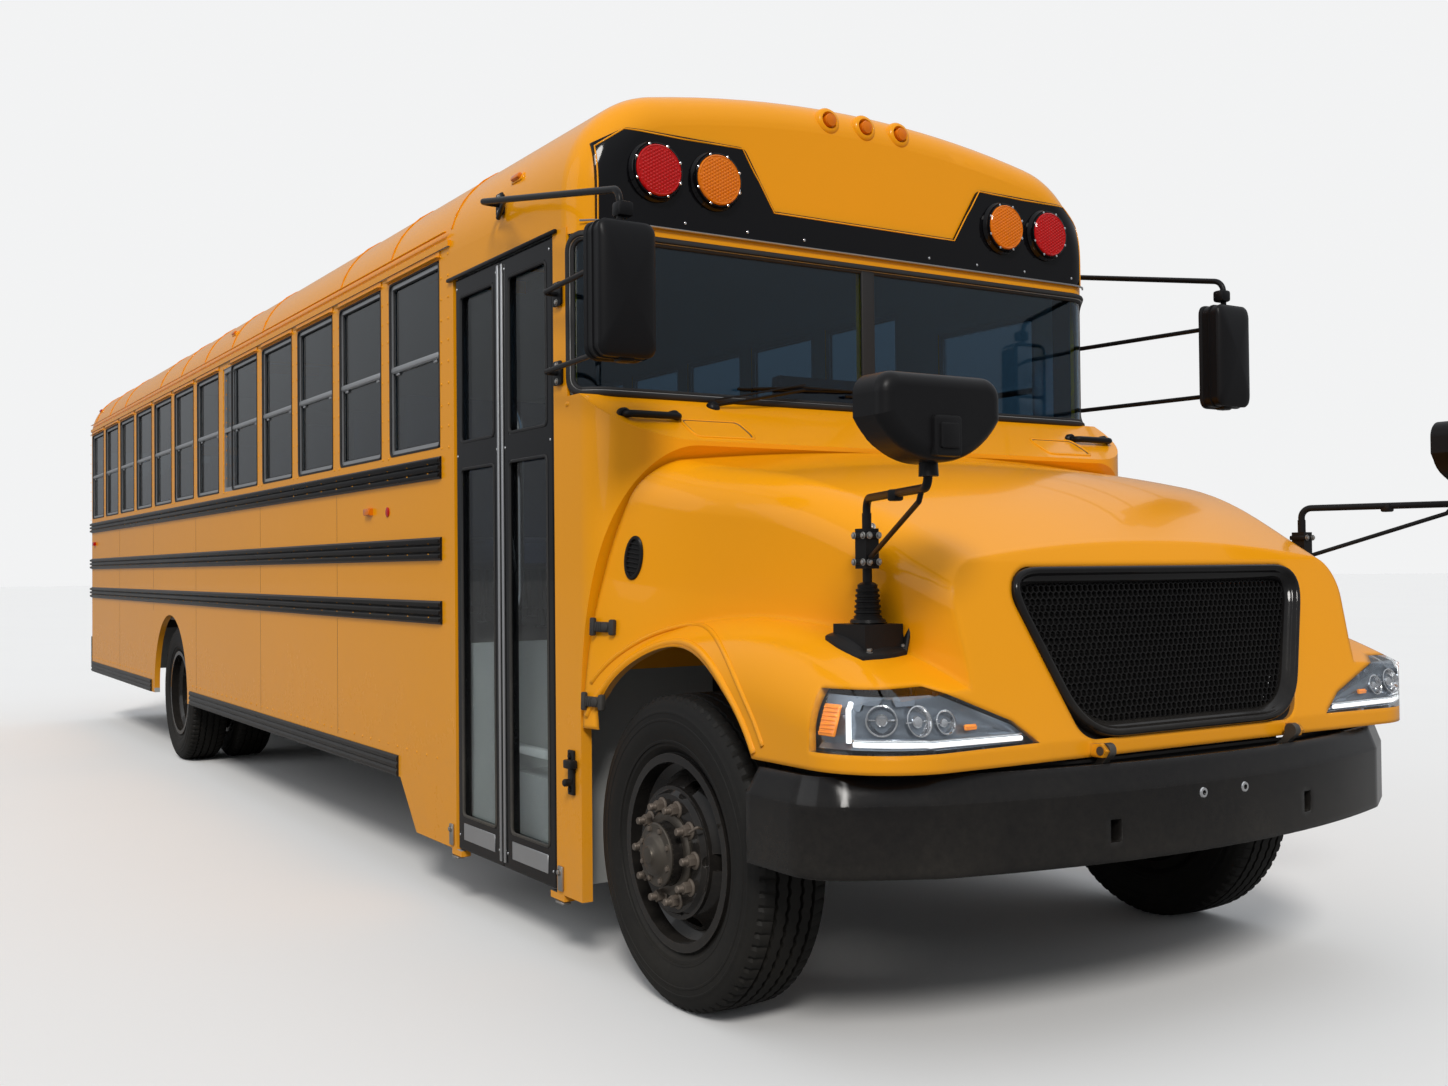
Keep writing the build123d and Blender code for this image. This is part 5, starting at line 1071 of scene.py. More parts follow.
collar = [(0.050, 1.188), (0.047, 1.196)]  # bellows round the post's foot: radius, height
for k in range(6):
    z = 1.200 + k * 0.0145
    big, small = 0.0385 - k * 0.0012, 0.0335 - k * 0.0012
    collar += [(big, z), (big, z + 0.006), (small, z + 0.008), (small, z + 0.0125)]
collar += [(0.028, 1.290), (0.020, 1.296), (0.0135, 1.298)]
footRings = [(0.092, -0.004), (0.092, 0.010), (0.088, 0.014), (0.074, 0.017), (0.062, 0.026), (0.052, 0.044)]
for side in sides:
    y = side * crossValues["y"]
    rearX = touchNode(crossTree, (0.90, y, 1.700), (1, 0, 0))[0].x
    frontX = touchNode(crossTree, (1.90, y, crossValues["backZ"]), (-1, 0, 0))[0].x
    mirrored = Matrix.Scale(-1, 4, (0, 1, 0))
    spot = facing((rearX + 0.002, y, crossValues["glassZ"]), (-1, 0, 0), (0, 1, 0)) @ mirrored
    mirrorGlass.put(domeShape(lensLine, 0.012), spot)
    mirrorTrim.put(ringShape(insetOutline(lensLine, -0.012), lensRim), spot)
    front = facing((frontX - 0.008, y, crossValues["backZ"]), (1, 0, 0), (0, 1, 0))
    mirrorTrim.put(plateShape(roundPad(0.084, 0.096, 0.012, 3), 0.020, 0.006), front)
    mirrorTrim.put(plateShape(roundPad(0.056, 0.060, 0.006, 3), 0.027, 0.004), front)
    mirrorTrim.put(tubeShape(onBus([(1.19, y, 1.550), (1.19, y, 1.600), (frontX, y, 1.622)]), 0.024, 12))
    x, y = crossValues["postX"], side * crossValues["postY"]
    mirrorTrim.put(latheShape(collar, 24), at(x, y, 0))
    for z in (1.352, 1.424):
        mirrorTrim.put(boxShape((0.060, 0.056, 0.016), 0.004, 2), at(x, y, z))
        for dx in (-0.020, 0.020):
            mirrorBolts.put(smallHead, facing((x + dx, y + side * 0.029, z), (0, side, 0)))
            mirrorBolts.put(smallHead, facing((x + 0.031, y + dx * 0.8, z), (1, 0, 0)))
    mirrorTrim.put(boxShape((0.034, 0.030, 0.030), 0.006, 2), at(x + 0.25, y + side * 0.105, 1.520))
    for dx in (-0.066, 0.066):
        for dy in (-0.052, 0.066):
            place, normal = touchNode(hoodSkin, (x + dx, y + dy, 1.6), (0, 0, -1))
            mirrorBolts.put(boltShape(0.010, 0.010), facing((place.x, place.y, place.z + 0.012), normal,
                                                            (1, 0, 0)))
    corners = []  # flared foot on the fender
    for radius, lift in footRings:
        for k in range(40):
            angle = 2 * math.pi * k / 40
            square = radius / max(abs(math.cos(angle)), abs(math.sin(angle))) ** 0.7
            px, py = x + square * math.cos(angle), y + square * math.sin(angle)
            height = touchNode(hoodSkin, (px, py, 1.6), (0, 0, -1))[0].z
            corners.append(Vector((ax(px), py, min(height, crossValues["footTop"]) + lift)))
    mirrorTrim.put((corners, gridFaces(len(footRings), 40)))

# Rear-view mirrors: glass panes, shell seam and clamps
viewValues = dict(x=0.062, y=1.362, z=2.158, wallY=1.2265)
padRows = [(-1.110, 2.690), (-0.636, 2.278), (-0.636, 2.008)]  # x and height of the clamps on the wall
outerRim = [(0.010, -0.006), (0.000, -0.004), (-0.004, 0.002), (-0.004, 0.010), (0.004, 0.012),
            (0.010, 0.004), (0.012, -0.002)]
seamRim = [(0.003, -0.004), (-0.0025, -0.003), (-0.0025, 0.003), (0.003, 0.004)]
rim = roundPad(0.402, 0.192, 0.038, 6)
for side in sides:
    x, y, z = viewValues["x"], side * viewValues["y"], viewValues["z"]
    back = facing((x - 0.042, y, z), (-1, 0, 0), (0, 0, 1))
    mirrorGlass.put(plateShape(roundPad(0.225, 0.160, 0.022, 4), 0.0035, 0.001), back @ shift(0.075, 0, 0))
    mirrorGlass.put(domeShape(roundPad(0.130, 0.160, 0.022, 4), 0.013), back @ shift(-0.115, 0, 0))
    mirrorTrim.put(ringShape(rim, outerRim), back @ shift(0, 0, -0.010))
    mirrorTrim.put(ringShape(rim, seamRim), back @ shift(0, 0, -0.046))
    mirrorTrim.put(domeShape(rim, 0.030, 9), facing((x + 0.038, y, z), (1, 0, 0), (0, 0, 1)))
    for height in (2.40, 1.97):
        mirrorTrim.put(boxShape((0.050, 0.052, 0.046), 0.010, 2), at(x, y - side * 0.010, height))
    for px, pz in padRows:
        plate = facing((px, side * viewValues["wallY"], pz), (0, side, 0), (1, 0, 0))
        mirrorTrim.put(plateShape(roundPad(0.062, 0.084, 0.012, 3), 0.006, 0.002), plate)
        for dz in (-0.028, 0.028):
            mirrorBolts.put(boltShape(0.0075, 0.006), plate @ shift(0, dz, 0.006))
    strut = [(-1.110, side * 1.236, 2.640), (-0.98, side * 1.270, 2.672), (-0.80, side * 1.318, 2.628)]
    mirrorTrim.put(tubeShape(bendPath(onBus(strut), 0.05, 5), 0.009, 10))
splitX = ax(0.45)  # parts ahead of this ride on the hood
for name, look, piece, slotName, angle in (("mirrorGlasses", "mirrorGlass", mirrorGlass, "glass", 30),
                                           ("mirrorTrim", "blackPlastic", mirrorTrim, "black_trim", 40),
                                           ("mirrorBolts", "zincSteel", mirrorBolts, "window_frame", 30)):
    for body, word in (("hood_assembly", "Front"), ("body", "Side")):
        part = Piece()
        used = {}
        for face in piece.faces:
            if (piece.corners[face[0]].x > splitX) == (word == "Front"):
                part.faces.append(tuple(used.setdefault(i, len(used)) for i in face))
        part.corners = [piece.corners[i] for i in used]
        part.make(name + word, look, body, slotName, angle)
print("mirrors made")


# Side walls: drip caps, rivets, ribs on the rails, window seals, sashes and butt joints of the sheets
sideValues = dict(windowFirst=-1.745, pitch=0.711, width=0.600, wide=0.217, low=1.840, high=2.605,
                  rivetGap=0.0865, edgeGap=0.118, railGap=0.2445, railStart=(-1.735, -0.712),
                  railEnd=-10.450)
railRows = [(1.713, 1.804), (1.381, 1.476), (1.121, 1.216)]  # lower and upper edge of each rail
railRivets = (1.736, 1.781, 1.404, 1.453, 1.144, 1.193)
sealRows = [(0.004, 1.2168, 0.006, 0.030, 4), (0.028, 1.2062, 0.0035, 0.018, 3)]
capRows = [(0.019, 2.612, 2.617), (0.005, 2.615, 2.640)]  # drip cap's reach, lower and upper edge
sheetRows = [(0.552, 1.115), (1.222, 1.375), (1.482, 1.707)]  # the side sheets between the rails
bodySkin = nodeTree("side_wall_right", "side_wall_left", "roof", "front_cap", "rear_wall")
oneRivet = latheShape([(0.0058, 0), (0.0058 * 0.85, 0.0018), (0.0058 * 0.45, 0.003 * 0.95), (0, 0.003)], 8)


def windowSpans():
    spans = []
    start = sideValues["windowFirst"]
    for k in range(12):
        spans.append((start - sideValues["width"], start))
        start -= sideValues["pitch"] + (sideValues["wide"] if k == 4 else 0)
    return spans


caps, rivets, ribs, seals, sashes = Piece(), Piece(), Piece(), Piece(), Piece()
spans = windowSpans()
z0, z1 = sideValues["low"], sideValues["high"]
middle = (z0 + z1) / 2
edges = [spans[0][1] + 0.056] + [(a[0] + b[1]) / 2 for a, b in zip(spans, spans[1:])] + [spans[-1][0] - 0.056]
for side, railStart in zip(sides, sideValues["railStart"]):
    out = side * halfWidth
    for low, high in spans:
        for wide, z, top in capRows:
            caps.put(spanShape((low - 0.012, out, z), (high + 0.012, out + side * wide, top), 0.002, 1))
        for inset, y, radius, corner, steps in sealRows:
            line = roundFrame(low + inset, high - inset, z0 + inset, z1 - inset, corner, steps)
            seals.put(tubeShape([(ax(u), side * y, v) for u, v in line], radius, 6, closed=True))
        sashes.put(spanShape((low + 0.018, side * 1.208, middle - 0.010),
                             (high - 0.018, side * 1.2185, middle + 0.010), 0.003, 2))
        for px in (low + 0.075, high - 0.075):
            sashes.put(boxShape((0.040, 0.012, 0.012), 0.003, 2), at(px, side * 1.204, middle - 0.020))
    for x in edges:
        for dx in (-0.038, 0.038):
            for k in range(10):
                rivets.put(oneRivet, facing((x + dx, out, 1.835 + k * sideValues["rivetGap"]), (0, side, 0)))
    for low, high in railRows:
        for k in range(3):
            z = low + (high - low) * (k + 0.5) / 3
            ribs.put(spanShape((sideValues["railEnd"], side * 1.2305, z - 0.009),
                               (railStart, side * 1.2365, z + 0.009), 0.0045, 2))
    for k in range(36):
        for z in railRivets:
            rivets.put(oneRivet, facing((railStart - 0.12 - k * sideValues["railGap"], side * 1.2312, z),
                                        (0, side, 0)))
    for k in range(int((10.40 + railStart) / sideValues["edgeGap"])):
        rivets.put(oneRivet, facing((railStart - 0.05 - k * sideValues["edgeGap"], out, 2.668), (0, side, 0)))
    for k in range(74):
        x = -1.80 - k * sideValues["edgeGap"]
        if abs(x - rearAxle) > 0.62:
            rivets.put(oneRivet, facing((x, out, 0.575), (0, side, 0)))
    for x in edges[2:12:2]:  # butt joints under the window pillars, cut short over the rear wheel
        for low, high in sheetRows:
            low = 1.06 if abs(x - rearAxle) < 0.60 and low < 1.0 else low
            seals.put(spanShape((x - 0.0012, side * 1.2185, low), (x + 0.0012, side * 1.2196, high), 0.0003,
                                1))
caps.make("windowDripCaps", "yellowPaint", "body", "body_paint", 40)
rivets.make("sideRivets", "yellowPaint", "body", "body_paint", 60)
ribs.make("railRibs", "railPaint", "body", "black_trim", 50)
seals.make("windowSeals", "rubber", "body", "black_trim", 50)
sashes.make("sashRails", "aluminium", "body", "window_frame", 40)

# Roof: ribs across the sheets, rain rail and marker lamps on the edge
roofValues = dict(ribFirst=-1.640, ribPitch=0.7205, ribs=13, ribFrom=23, ribSweep=134, middleZ=2.20,
                  hatches=(-3.900, -8.150), markersY=(-0.170, 0.0, 0.170), markersZ=3.006)
edgeLamps = [(-1.05, 2.78, False), (-5.36, 2.83, False), (-10.30, 2.83, True)]  # x, height, whether red
roofBits, markerBits, markerRed = Piece(), Piece(), Piece()
for k in range(roofValues["ribs"]):
    x = roofValues["ribFirst"] - k * roofValues["ribPitch"]
    if min(abs(x - hatch) for hatch in roofValues["hatches"]) < 0.36:
        continue
    path = []
    for step in range(49):
        angle = math.radians(roofValues["ribFrom"] + roofValues["ribSweep"] * step / 48)
        way = Vector((0, math.cos(angle), math.sin(angle)))
        place, normal = touchNode(bodySkin, (x, way.y * 3.0, roofValues["middleZ"] + way.z * 3.0), -way)
        path.append(place + Vector((frontAxle, 0, 0)) + normal * 0.0005)
    roofBits.put(tubeShape(path, 0.007, 6, flat=0.5))
for side in sides:
    roofBits.put(spanShape((-10.40, side * 1.2195, 2.700), (-1.66, side * 1.232, 2.706), 0.002, 1))
    for x, z, red in edgeLamps:
        spot = facing(*touchNode(bodySkin, (x, side * 3.0, z), (0, -side, 0)), (1, 0, 0))
        roofBits.put(plateShape(roundPad(0.094, 0.036, 0.014, 4), 0.005, 0.002), spot)
        (markerRed if red else markerBits).put(plateShape(roundPad(0.072, 0.024, 0.010, 4), 0.018, 0.006),
                                               spot)
    for x, red in ((-2.621, False), (-10.255, True)):
        spot = facing((x, side * 1.2352, 1.610), (0, side, 0), (1, 0, 0))
        (markerRed if red else markerBits).put(plateShape(roundPad(0.078, 0.030, 0.010, 3), 0.004, 0.002),
                                               spot)
    spot = facing((-2.378, side * halfWidth, 1.601), (0, side, 0), (1, 0, 0))
    markerRed.put(latheShape([(0.022, 0), (0.022, 0.004), (0.016, 0.006), (0, 0.006)], 20), spot)
for y in roofValues["markersY"]:
    place, _ = touchNode(bodySkin, (0.5, y, roofValues["markersZ"]), (-1, 0, 0))
    roofBits.put(latheShape([(0.056, -0.02), (0.052, 0.002), (0.044, 0.012), (0.034, 0.014), (0.029, 0.008),
                             (0.026, -0.01)], 28), facing(place, (1, 0, 0.15)))
    markerBits.put(latheShape([(0.0245, -0.01), (0.0245, 0.004), (0.020, 0.010), (0.010, 0.013),
                               (0, 0.0135)], 24), facing((-0.486, y, roofValues["markersZ"]), (1, 0, 0)))
roofBits.make("roofRibs", "yellowPaint", "body", "body_paint", 50)
markerBits.make("amberMarkers", "amberLens", "body", "amber_lens", 35)
markerRed.make("redMarkers", "redLens", "body", "red_lens", 35)
print("side and roof details made")

# Lamp panel trims over the windshield
panelValues = dict(low=2.512, stripHalf=1.200, bead=0.0032, screwZ=2.540, screwsY=(0.30, 0.55, 0.81, 1.08))
panelBits, panelGrey, panelRim = Piece(), Piece(), Piece()
panelGrey.put(tubeShape(ledgeLine(panelValues["stripHalf"], panelValues["low"], 0.0125), 0.0045, 6, flat=0.6))
panelGrey.make("panelStrip", "aluminium", "body", "window_frame", 50)
screwsY = panelValues["screwsY"]
for y in [-y for y in reversed(screwsY)] + list(screwsY):
    panelBits.put(screw, facing((-0.480, y, panelValues["screwZ"]), (1, 0, 0)))
rimLine = [(-1.150, panelValues["low"]), (-1.150, 2.770), (-1.050, 2.840), (-0.562, 2.840), (-0.432, 2.630)]
rimLine += [(-y, z) for y, z in reversed(rimLine)]
panelTree = nodeTree("lamp_panels")
run = []
for y, z in finerLine(rimLine, 0.03, closed=False) + rimLine[-1:] + [(9.0, 9.0)]:
    aimY, aimZ = (math.copysign(0.81, y), 2.70) if abs(y) > 0.5 else (y, 2.56)
    reach = math.hypot(aimY - y, aimZ - z)
    start = (0.6, y + (aimY - y) * 0.006 / reach, z + (aimZ - z) * 0.006 / reach)
    try:
        place, _ = touchNode(panelTree, start, (-1, 0, 0))
        run.append(Vector((ax(place.x - 0.0005), place.y, place.z)))
    except ValueError:  # beyond the panel's rounded end
        if len(run) > 2:
            panelRim.put(tubeShape(run, panelValues["bead"], 6))
        run = []
panelRim.make("panelRim", "yellowPaint", "body", "body_paint", 60)
panelBits.make("panelScrews", "chrome", "body", "window_frame", 40)

# Entrance door: edge strips, rubber glazing, pivots, header and inner grab rails
doorValues = dict(glassRows=((0.375, 1.740), (1.840, 2.420)), skinY=-1.2150, frontEdge=-0.650,
                  rearEdge=-1.640, sealY=-1.2130, border=0.065, screwsZ=(0.300, 1.790, 2.452))
pivotRows = [(-1.634, 1), (-0.652, -1)]  # x, way towards the leaf
leafRows = [("entrance_leaf_front", -0.689, -1.139, "Front"), ("entrance_leaf_rear", -1.597, -1.147, "Rear")]
skinY, border = doorValues["skinY"], doorValues["border"]
for body, edge, inner, word in leafRows:
    low, high = min(edge, inner), max(edge, inner)
    strips, gaskets, bolts = Piece(), Piece(), Piece()
    side = 1 if edge > inner else -1
    strips.put(spanShape((inner + side * 0.006, skinY, 0.262), (inner + side * 0.022, -1.2225, 2.475), 0.003,
                         2))
    for z0, z1 in doorValues["glassRows"]:
        line = roundFrame(low + border, high - border, z0 + 0.003, z1 - 0.003, 0.022, 4)
        gaskets.put(tubeShape([(ax(u), doorValues["sealY"], v) for u, v in line], 0.0065, 6, closed=True))
    for z in doorValues["screwsZ"]:
        for px in (low + 0.034, high - 0.034):
            bolts.put(screw, facing((px, -1.2152, z), (0, -1, 0)))
    strips.put(spanShape((low + 0.075, skinY, 0.285), (high - 0.075, -1.2175, 0.350), 0.002, 1))
    strips.make("doorStrips" + word, "aluminium", body, "window_frame", 40)
    gaskets.make("doorGaskets" + word, "rubber", body, "black_trim", 50)
    bolts.make("doorScrews" + word, "chrome", body, "window_frame", 40)
entry, entryRail, holdback = Piece(), Piece(), Piece()
for x, inward in pivotRows:
    entry.put(boxShape((0.034, 0.010, 0.085), 0.004, 2), at(x, -1.2245, 0.290))
    entry.put(boxShape((0.060, 0.034, 0.010), 0.004, 2), at(x + inward * 0.020, -1.205, 0.2035))
    entry.put(boltShape(0.009, 0.008), facing((x, -1.2295, 0.312), (0, -1, 0)))
entry.make("doorPivots", "zincSteel", "body", "window_frame", 35)
holdback.put(boxShape((0.040, 0.012, 0.150), 0.004, 2), at(-0.560, -1.2255, 0.660))
holdback.put(boxShape((0.055, 0.030, 0.030), 0.006, 2), at(-0.545, -1.238, 0.690))
holdback.put(latheShape([(0.013, 0), (0.013, 0.020), (0.009, 0.024), (0, 0.024)], 16),
             facing((-0.545, -1.240, 0.630), (0, -1, 0)))
for z in (0.605, 0.715):
    holdback.put(boltShape(0.008, 0.006), facing((-0.560, -1.2315, z), (0, -1, 0)))
holdback.put(spanShape((doorValues["rearEdge"], -halfWidth, 2.492),
                       (doorValues["frontEdge"], -1.2330, 2.506), 0.004, 2))
holdback.make("doorHoldback", "blackPlastic", "body", "black_trim", 40)
for path in ([(-0.745, -1.10, 1.95), (-0.790, -1.085, 1.55), (-0.860, -1.075, 1.30), (-0.860, -1.075, 0.62)],
             [(-1.560, -1.02, 2.05), (-1.560, -0.95, 1.95), (-1.560, -0.95, 1.20), (-1.560, -1.02, 1.10)]):
    entryRail.put(tubeShape(bendPath(onBus(path), 0.10, 7), 0.0155, 14))
entryRail.make("entranceRails", "chrome", "body", "window_frame", 50)
print("door details made")

# Rear: seals, latch, hinge bolts, reflectors
rearValues = dict(sealX=-10.4555, rivetX=-10.4550, latchY=0.262, latchZ=1.735, reflectorZ=1.120,
                  windows=((0.430, 0.640), (0.700, 1.060)), doorWindows=((1.190, 1.640), (1.840, 2.470)),
                  hingesZ=(1.300, 1.800, 2.350), rivets=14, rivetGap=0.13)
rearBits, rearSeal, rearReflector, doorBits, doorSeal = Piece(), Piece(), Piece(), Piece(), Piece()
sealX, latchY, latchZ = rearValues["sealX"], rearValues["latchY"], rearValues["latchZ"]


def rearLoop(y0, y1, z0, z1, corner=0.040, steps=5, x=sealX, radius=0.010, around=8):
    line = roundOutline([(y0, z0), (y1, z0), (y1, z1), (y0, z1)], corner, steps)
    return tubeShape([(ax(x), y, z) for y, z in line], radius, around, closed=True)


def onRear(x, y, z):
    return facing((x, y, z), (-1, 0, 0))


for low, high in rearValues["windows"]:
    for side in sides:
        rearSeal.put(rearLoop(side * low, side * high, 1.843, 2.477))
for z0, z1 in rearValues["doorWindows"]:
    doorSeal.put(rearLoop(-0.266, 0.266, z0, z1))
rearSeal.put(rearLoop(-0.357, 0.357, 1.063, 2.556, 0.020, 3, -10.4560, 0.0045, 6))
handle = [(sealX, latchY, latchZ), (-10.500, latchY, latchZ), (-10.500, 0.120, latchZ),
          (-10.478, 0.085, latchZ)]
doorBits.put(tubeShape(bendPath(onBus(handle), 0.018, 5), 0.011, 12))
doorBits.put(plateShape(roundPad(0.085, 0.085, 0.014, 4), 0.008, 0.003), onRear(-10.4545, latchY, latchZ))
for z in rearValues["hingesZ"]:
    for y in (-0.330, -0.305):
        doorBits.put(boltShape(0.007, 0.005), onRear(-10.4770, y, z))
doorBits.make("emergencyHandle", "zincSteel", "emergency_leaf", "window_frame", 40)
doorSeal.make("emergencySeals", "rubber", "emergency_leaf", "black_trim", 50)
rearSeal.make("rearSeals", "rubber", "body", "black_trim", 50)
for side in sides:
    rearReflector.put(latheShape([(0.040, 0), (0.040, 0.006), (0.036, 0.009), (0, 0.009)], 28),
                      onRear(rearFace, side * 0.930, rearValues["reflectorZ"]))
    rearReflector.put(plateShape(roundPad(0.15, 0.05, 0.012, 4), 0.012, 0.004),
                      onRear(rearFace, side * 0.660, rearValues["reflectorZ"]))
    for z in (0.60, 0.95, 1.25):
        rearBits.put(latheShape([(0.006, 0), (0.005, 0.003), (0, 0.004)], 8),
                     onRear(rearFace, side * 1.10, z))
    for k in range(rearValues["rivets"]):
        z = 0.70 + k * rearValues["rivetGap"]
        rearBits.put(oneRivet, onRear(rearValues["rivetX"], side * 1.125, z))
rearReflector.make("rearReflectors", "redLens", "body", "red_lens", 40)
rearBits.make("rearRivets", "yellowPaint", "body", "body_paint", 60)

# Stop arm: pale rim and lamps on both faces
stopValues = dict(x=-2.060, z=1.555, half=0.225, lampRise=0.165,
                  faces=((1.2525, 1, 0.010), (1.2455, -1, 0.005)))
stopRim, stopLamps = Piece(), Piece()
octagon = circle(stopValues["half"] / math.cos(math.pi / 8), 8, math.pi / 8)
for face, way, rise in stopValues["faces"]:
    spot = facing((stopValues["x"], face, stopValues["z"]), (0, way, 0), (1, 0, 0))
    stopRim.put(ringShape(octagon, [(0.008, 0.0), (0.008, 0.0012), (0.024, 0.0012), (0.024, 0.0)]), spot)
    for dz in (-stopValues["lampRise"], stopValues["lampRise"]):
        stopLamps.put(latheShape([(0.036, 0.001), (0.036, rise * 0.6), (0.026, rise), (0, rise * 1.1)], 24),
                      spot @ shift(0, dz, 0))
stopRim.make("stopArmRim", "signWhite", "stop_sign", "red_sign", 40)
stopLamps.make("stopArmLamps", "redLens", "stop_sign", "red_lens", 40)
print("rear and stop arm details made")


# Seats: crowned cushions and backs with welts and sewn channels, on steel frames
seatValues = dict(rows=11, first=-2.350, pitch=0.735, benchY=0.690, floor=1.050, crown=0.020, pull=0.012,
                  channel=0.007)
bench = dict(width=0.940, base=0.430, height=1.080, depth=0.430, channels=2)
driverSeat = dict(x=-1.620, y=0.620, width=0.520, base=0.470, height=1.180, depth=0.460, channels=3)


def padShape(size, crown, channels, cells):  # stuffed block: crowned faces, sides drawn in
    half = [s / 2 for s in size]
    easing = min(half) * 0.55
    corners, faces, index = [], [], {}

    def corner(*key):
        if key in index:
            return index[key]
        u, v, w = (2 * a / n - 1 for a, n in zip(key, cells))
        point = Vector((u * half[0], v * half[1], w * half[2]))
        core = Vector(tuple(max(-h + easing, min(h - easing, c)) for c, h in zip(point, half)))
        away = point - core
        if away.length > easing:
            point = core + away.normalized() * easing
        point.z += w * crown * ((1 - u * u) * (1 - v * v)) ** 0.6
        if abs(u) > 0.9:
            point.x -= math.copysign(seatValues["pull"], u) * (1 - v * v) * (1 - w * w)
        if abs(v) > 0.9:
            point.y -= math.copysign(seatValues["pull"], v) * (1 - u * u) * (1 - w * w)
        for c in range(channels if w > 0 else 0):
            line = -1 + 2 * (c + 1) / (channels + 1)
            point.z -= seatValues["channel"] * math.exp(-((v - line) / 0.035) ** 2) * (1 - u ** 4)
        index[key] = len(corners)
        corners.append(point)
        return index[key]

    for a, b, c, turned in ((0, 1, 2, 0), (0, 2, 1, 1), (1, 2, 0, 0)):  # two ways across, one through
        for i in range(cells[a]):
            for j in range(cells[b]):
                for end in (0, 1):
                    face = []
                    for di, dj in ((0, 0), (1, 0), (1, 1), (0, 1)):
                        key = [0, 0, 0]
                        key[a], key[b], key[c] = i + di, j + dj, cells[c] * end
                        face.append(corner(*key))
                    faces.append(tuple(face if end != turned else face[::-1]))
    return corners, faces


cushions, backs, welts, frames = Piece(), Piece(), Piece(), Piece()


def putSeat(x, y, width, base, height, depth, channels):
    floor = seatValues["floor"]
    cushion = padShape((depth - 0.075, width - 0.014, 0.105), seatValues["crown"], 0, (8, 14, 4))
    cushions.put(cushion, at(x + 0.065 + (depth - 0.065) / 2, y, floor + base - 0.068))
    low, high = Vector((x + 0.035, 0, floor + base - 0.115)), Vector((x - 0.028, 0, floor + height - 0.004))
    along = high - low
    tilt = Matrix.Rotation(math.atan2(along.x, along.z), 4, "Y") @ spin(90, "Y")
    middle = (low + high) / 2
    back = padShape((along.length, width - 0.014, 0.078), 0.006, channels, (12, 24, 4))
    backs.put(back, at(middle.x, y, middle.z) @ tilt)
    front, under = x + depth, floor + base - 0.125
    for edge in sides:
        weltY, legY = y + edge * (width / 2 - 0.012), y + edge * (width / 2 - 0.09)
        welt = [(u, weltY, floor + base - 0.066) for u in (x + 0.085, front - 0.012)]
        welts.put(tubeShape(onBus(welt), 0.0035, 5))
        legs = [(x + 0.10, floor + 0.012), (x + 0.12, under), (front - 0.10, under),
                (front - 0.07, floor + 0.012)]
        frames.put(tubeShape(bendPath(onBus([(u, legY, v) for u, v in legs]), 0.04, 4), 0.0125, 8))
        for u in (x + 0.10, front - 0.07):
            frames.put(boxShape((0.07, 0.045, 0.006), 0.002, 1), at(u, legY, floor + 0.006))
    frames.put(spanShape((x + 0.10, y - width / 2 + 0.05, floor + base - 0.128),
                         (front - 0.06, y + width / 2 - 0.05, floor + base - 0.118), 0.003, 1))


for row in range(seatValues["rows"]):
    for side in sides:
        putSeat(seatValues["first"] - row * seatValues["pitch"], side * seatValues["benchY"], **bench)
putSeat(**driverSeat)
seatCushions = cushions.make("seatCushions", "seatVinyl", "body", "seat_cover", 60)
seatBacks = backs.make("seatBacks", "seatVinyl", "body", "seat_cover", 60)
welts.make("seatWelts", "darkTrim", "body", "seat_cover", 60)
frames.make("seatFrames", "zincSteel", "body", "window_frame", 40)
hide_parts("seats")
print("seats made")

# Driver's place: wheel grip, column shroud, dials, pedals and inner mirror; steps at the entrance
cabValues = dict(wheelX=-1.010, driverY=0.620, wheelZ=1.790, wheelRadius=0.215, wheelTilt=-55, spokes=3,
                 dialsY=(0.52, 0.66, 0.78), pedalsY=(0.50, 0.66), mirrorStemsY=(-0.16, 0.36))
cabBits, cabMetal, cabScreens, nosing = Piece(), Piece(), Piece(), Piece()
wheelSpot = at(cabValues["wheelX"], cabValues["driverY"], cabValues["wheelZ"])
wheelSpot = wheelSpot @ spin(cabValues["wheelTilt"], "Y")
ring = [wheelSpot @ Vector((u, v, 0)) for u, v in circle(cabValues["wheelRadius"], 48)]
cabBits.put(tubeShape(ring, 0.0165, 10, closed=True))
cabBits.put(latheShape([(0.062, -0.004), (0.062, 0.014), (0.050, 0.024), (0.020, 0.028), (0, 0.028)], 32),
            wheelSpot)
for k in range(cabValues["spokes"]):
    turn = wheelSpot @ Matrix.Rotation(2 * math.pi * k / cabValues["spokes"], 4, "Z")
    cabBits.put(boxShape((0.150, 0.034, 0.020), 0.008, 2), turn @ shift(0.125, 0, 0))
cabBits.put(boxShape((0.035, 0.40, 0.150), 0.015, 3), at(-0.835, cabValues["driverY"], 1.800) @
            spin(-20, "Y"))
for y in cabValues["dialsY"]:
    dial = at(-0.857, y, 1.802) @ spin(-110, "Y")
    cabMetal.put(latheShape([(0.045, 0), (0.045, 0.006), (0.041, 0.008), (0.039, 0.004)], 28), dial)
    cabScreens.put(latheShape([(0.039, 0.003), (0, 0.003)], 28), dial)
for y in cabValues["pedalsY"]:
    cabMetal.put(boxShape((0.012, 0.075, 0.10), 0.004, 2), at(-0.93, y, 1.180) @ spin(-30, "Y"))
    cabMetal.put(tubeShape(onBus([(-0.93, y, 1.20), (-0.80, y, 1.36)]), 0.009, 8))
cabMetal.put(boxShape((0.020, 0.62, 0.105), 0.009, 3), at(-0.720, 0.10, 2.560) @ spin(12, "Y"))
for y in cabValues["mirrorStemsY"]:
    cabMetal.put(tubeShape(onBus([(-0.715, y, 2.600), (-0.690, y, 2.720)]), 0.007, 8))
cabBits.make("driverControls", "darkTrim", "body", "interior_plastic", 45)
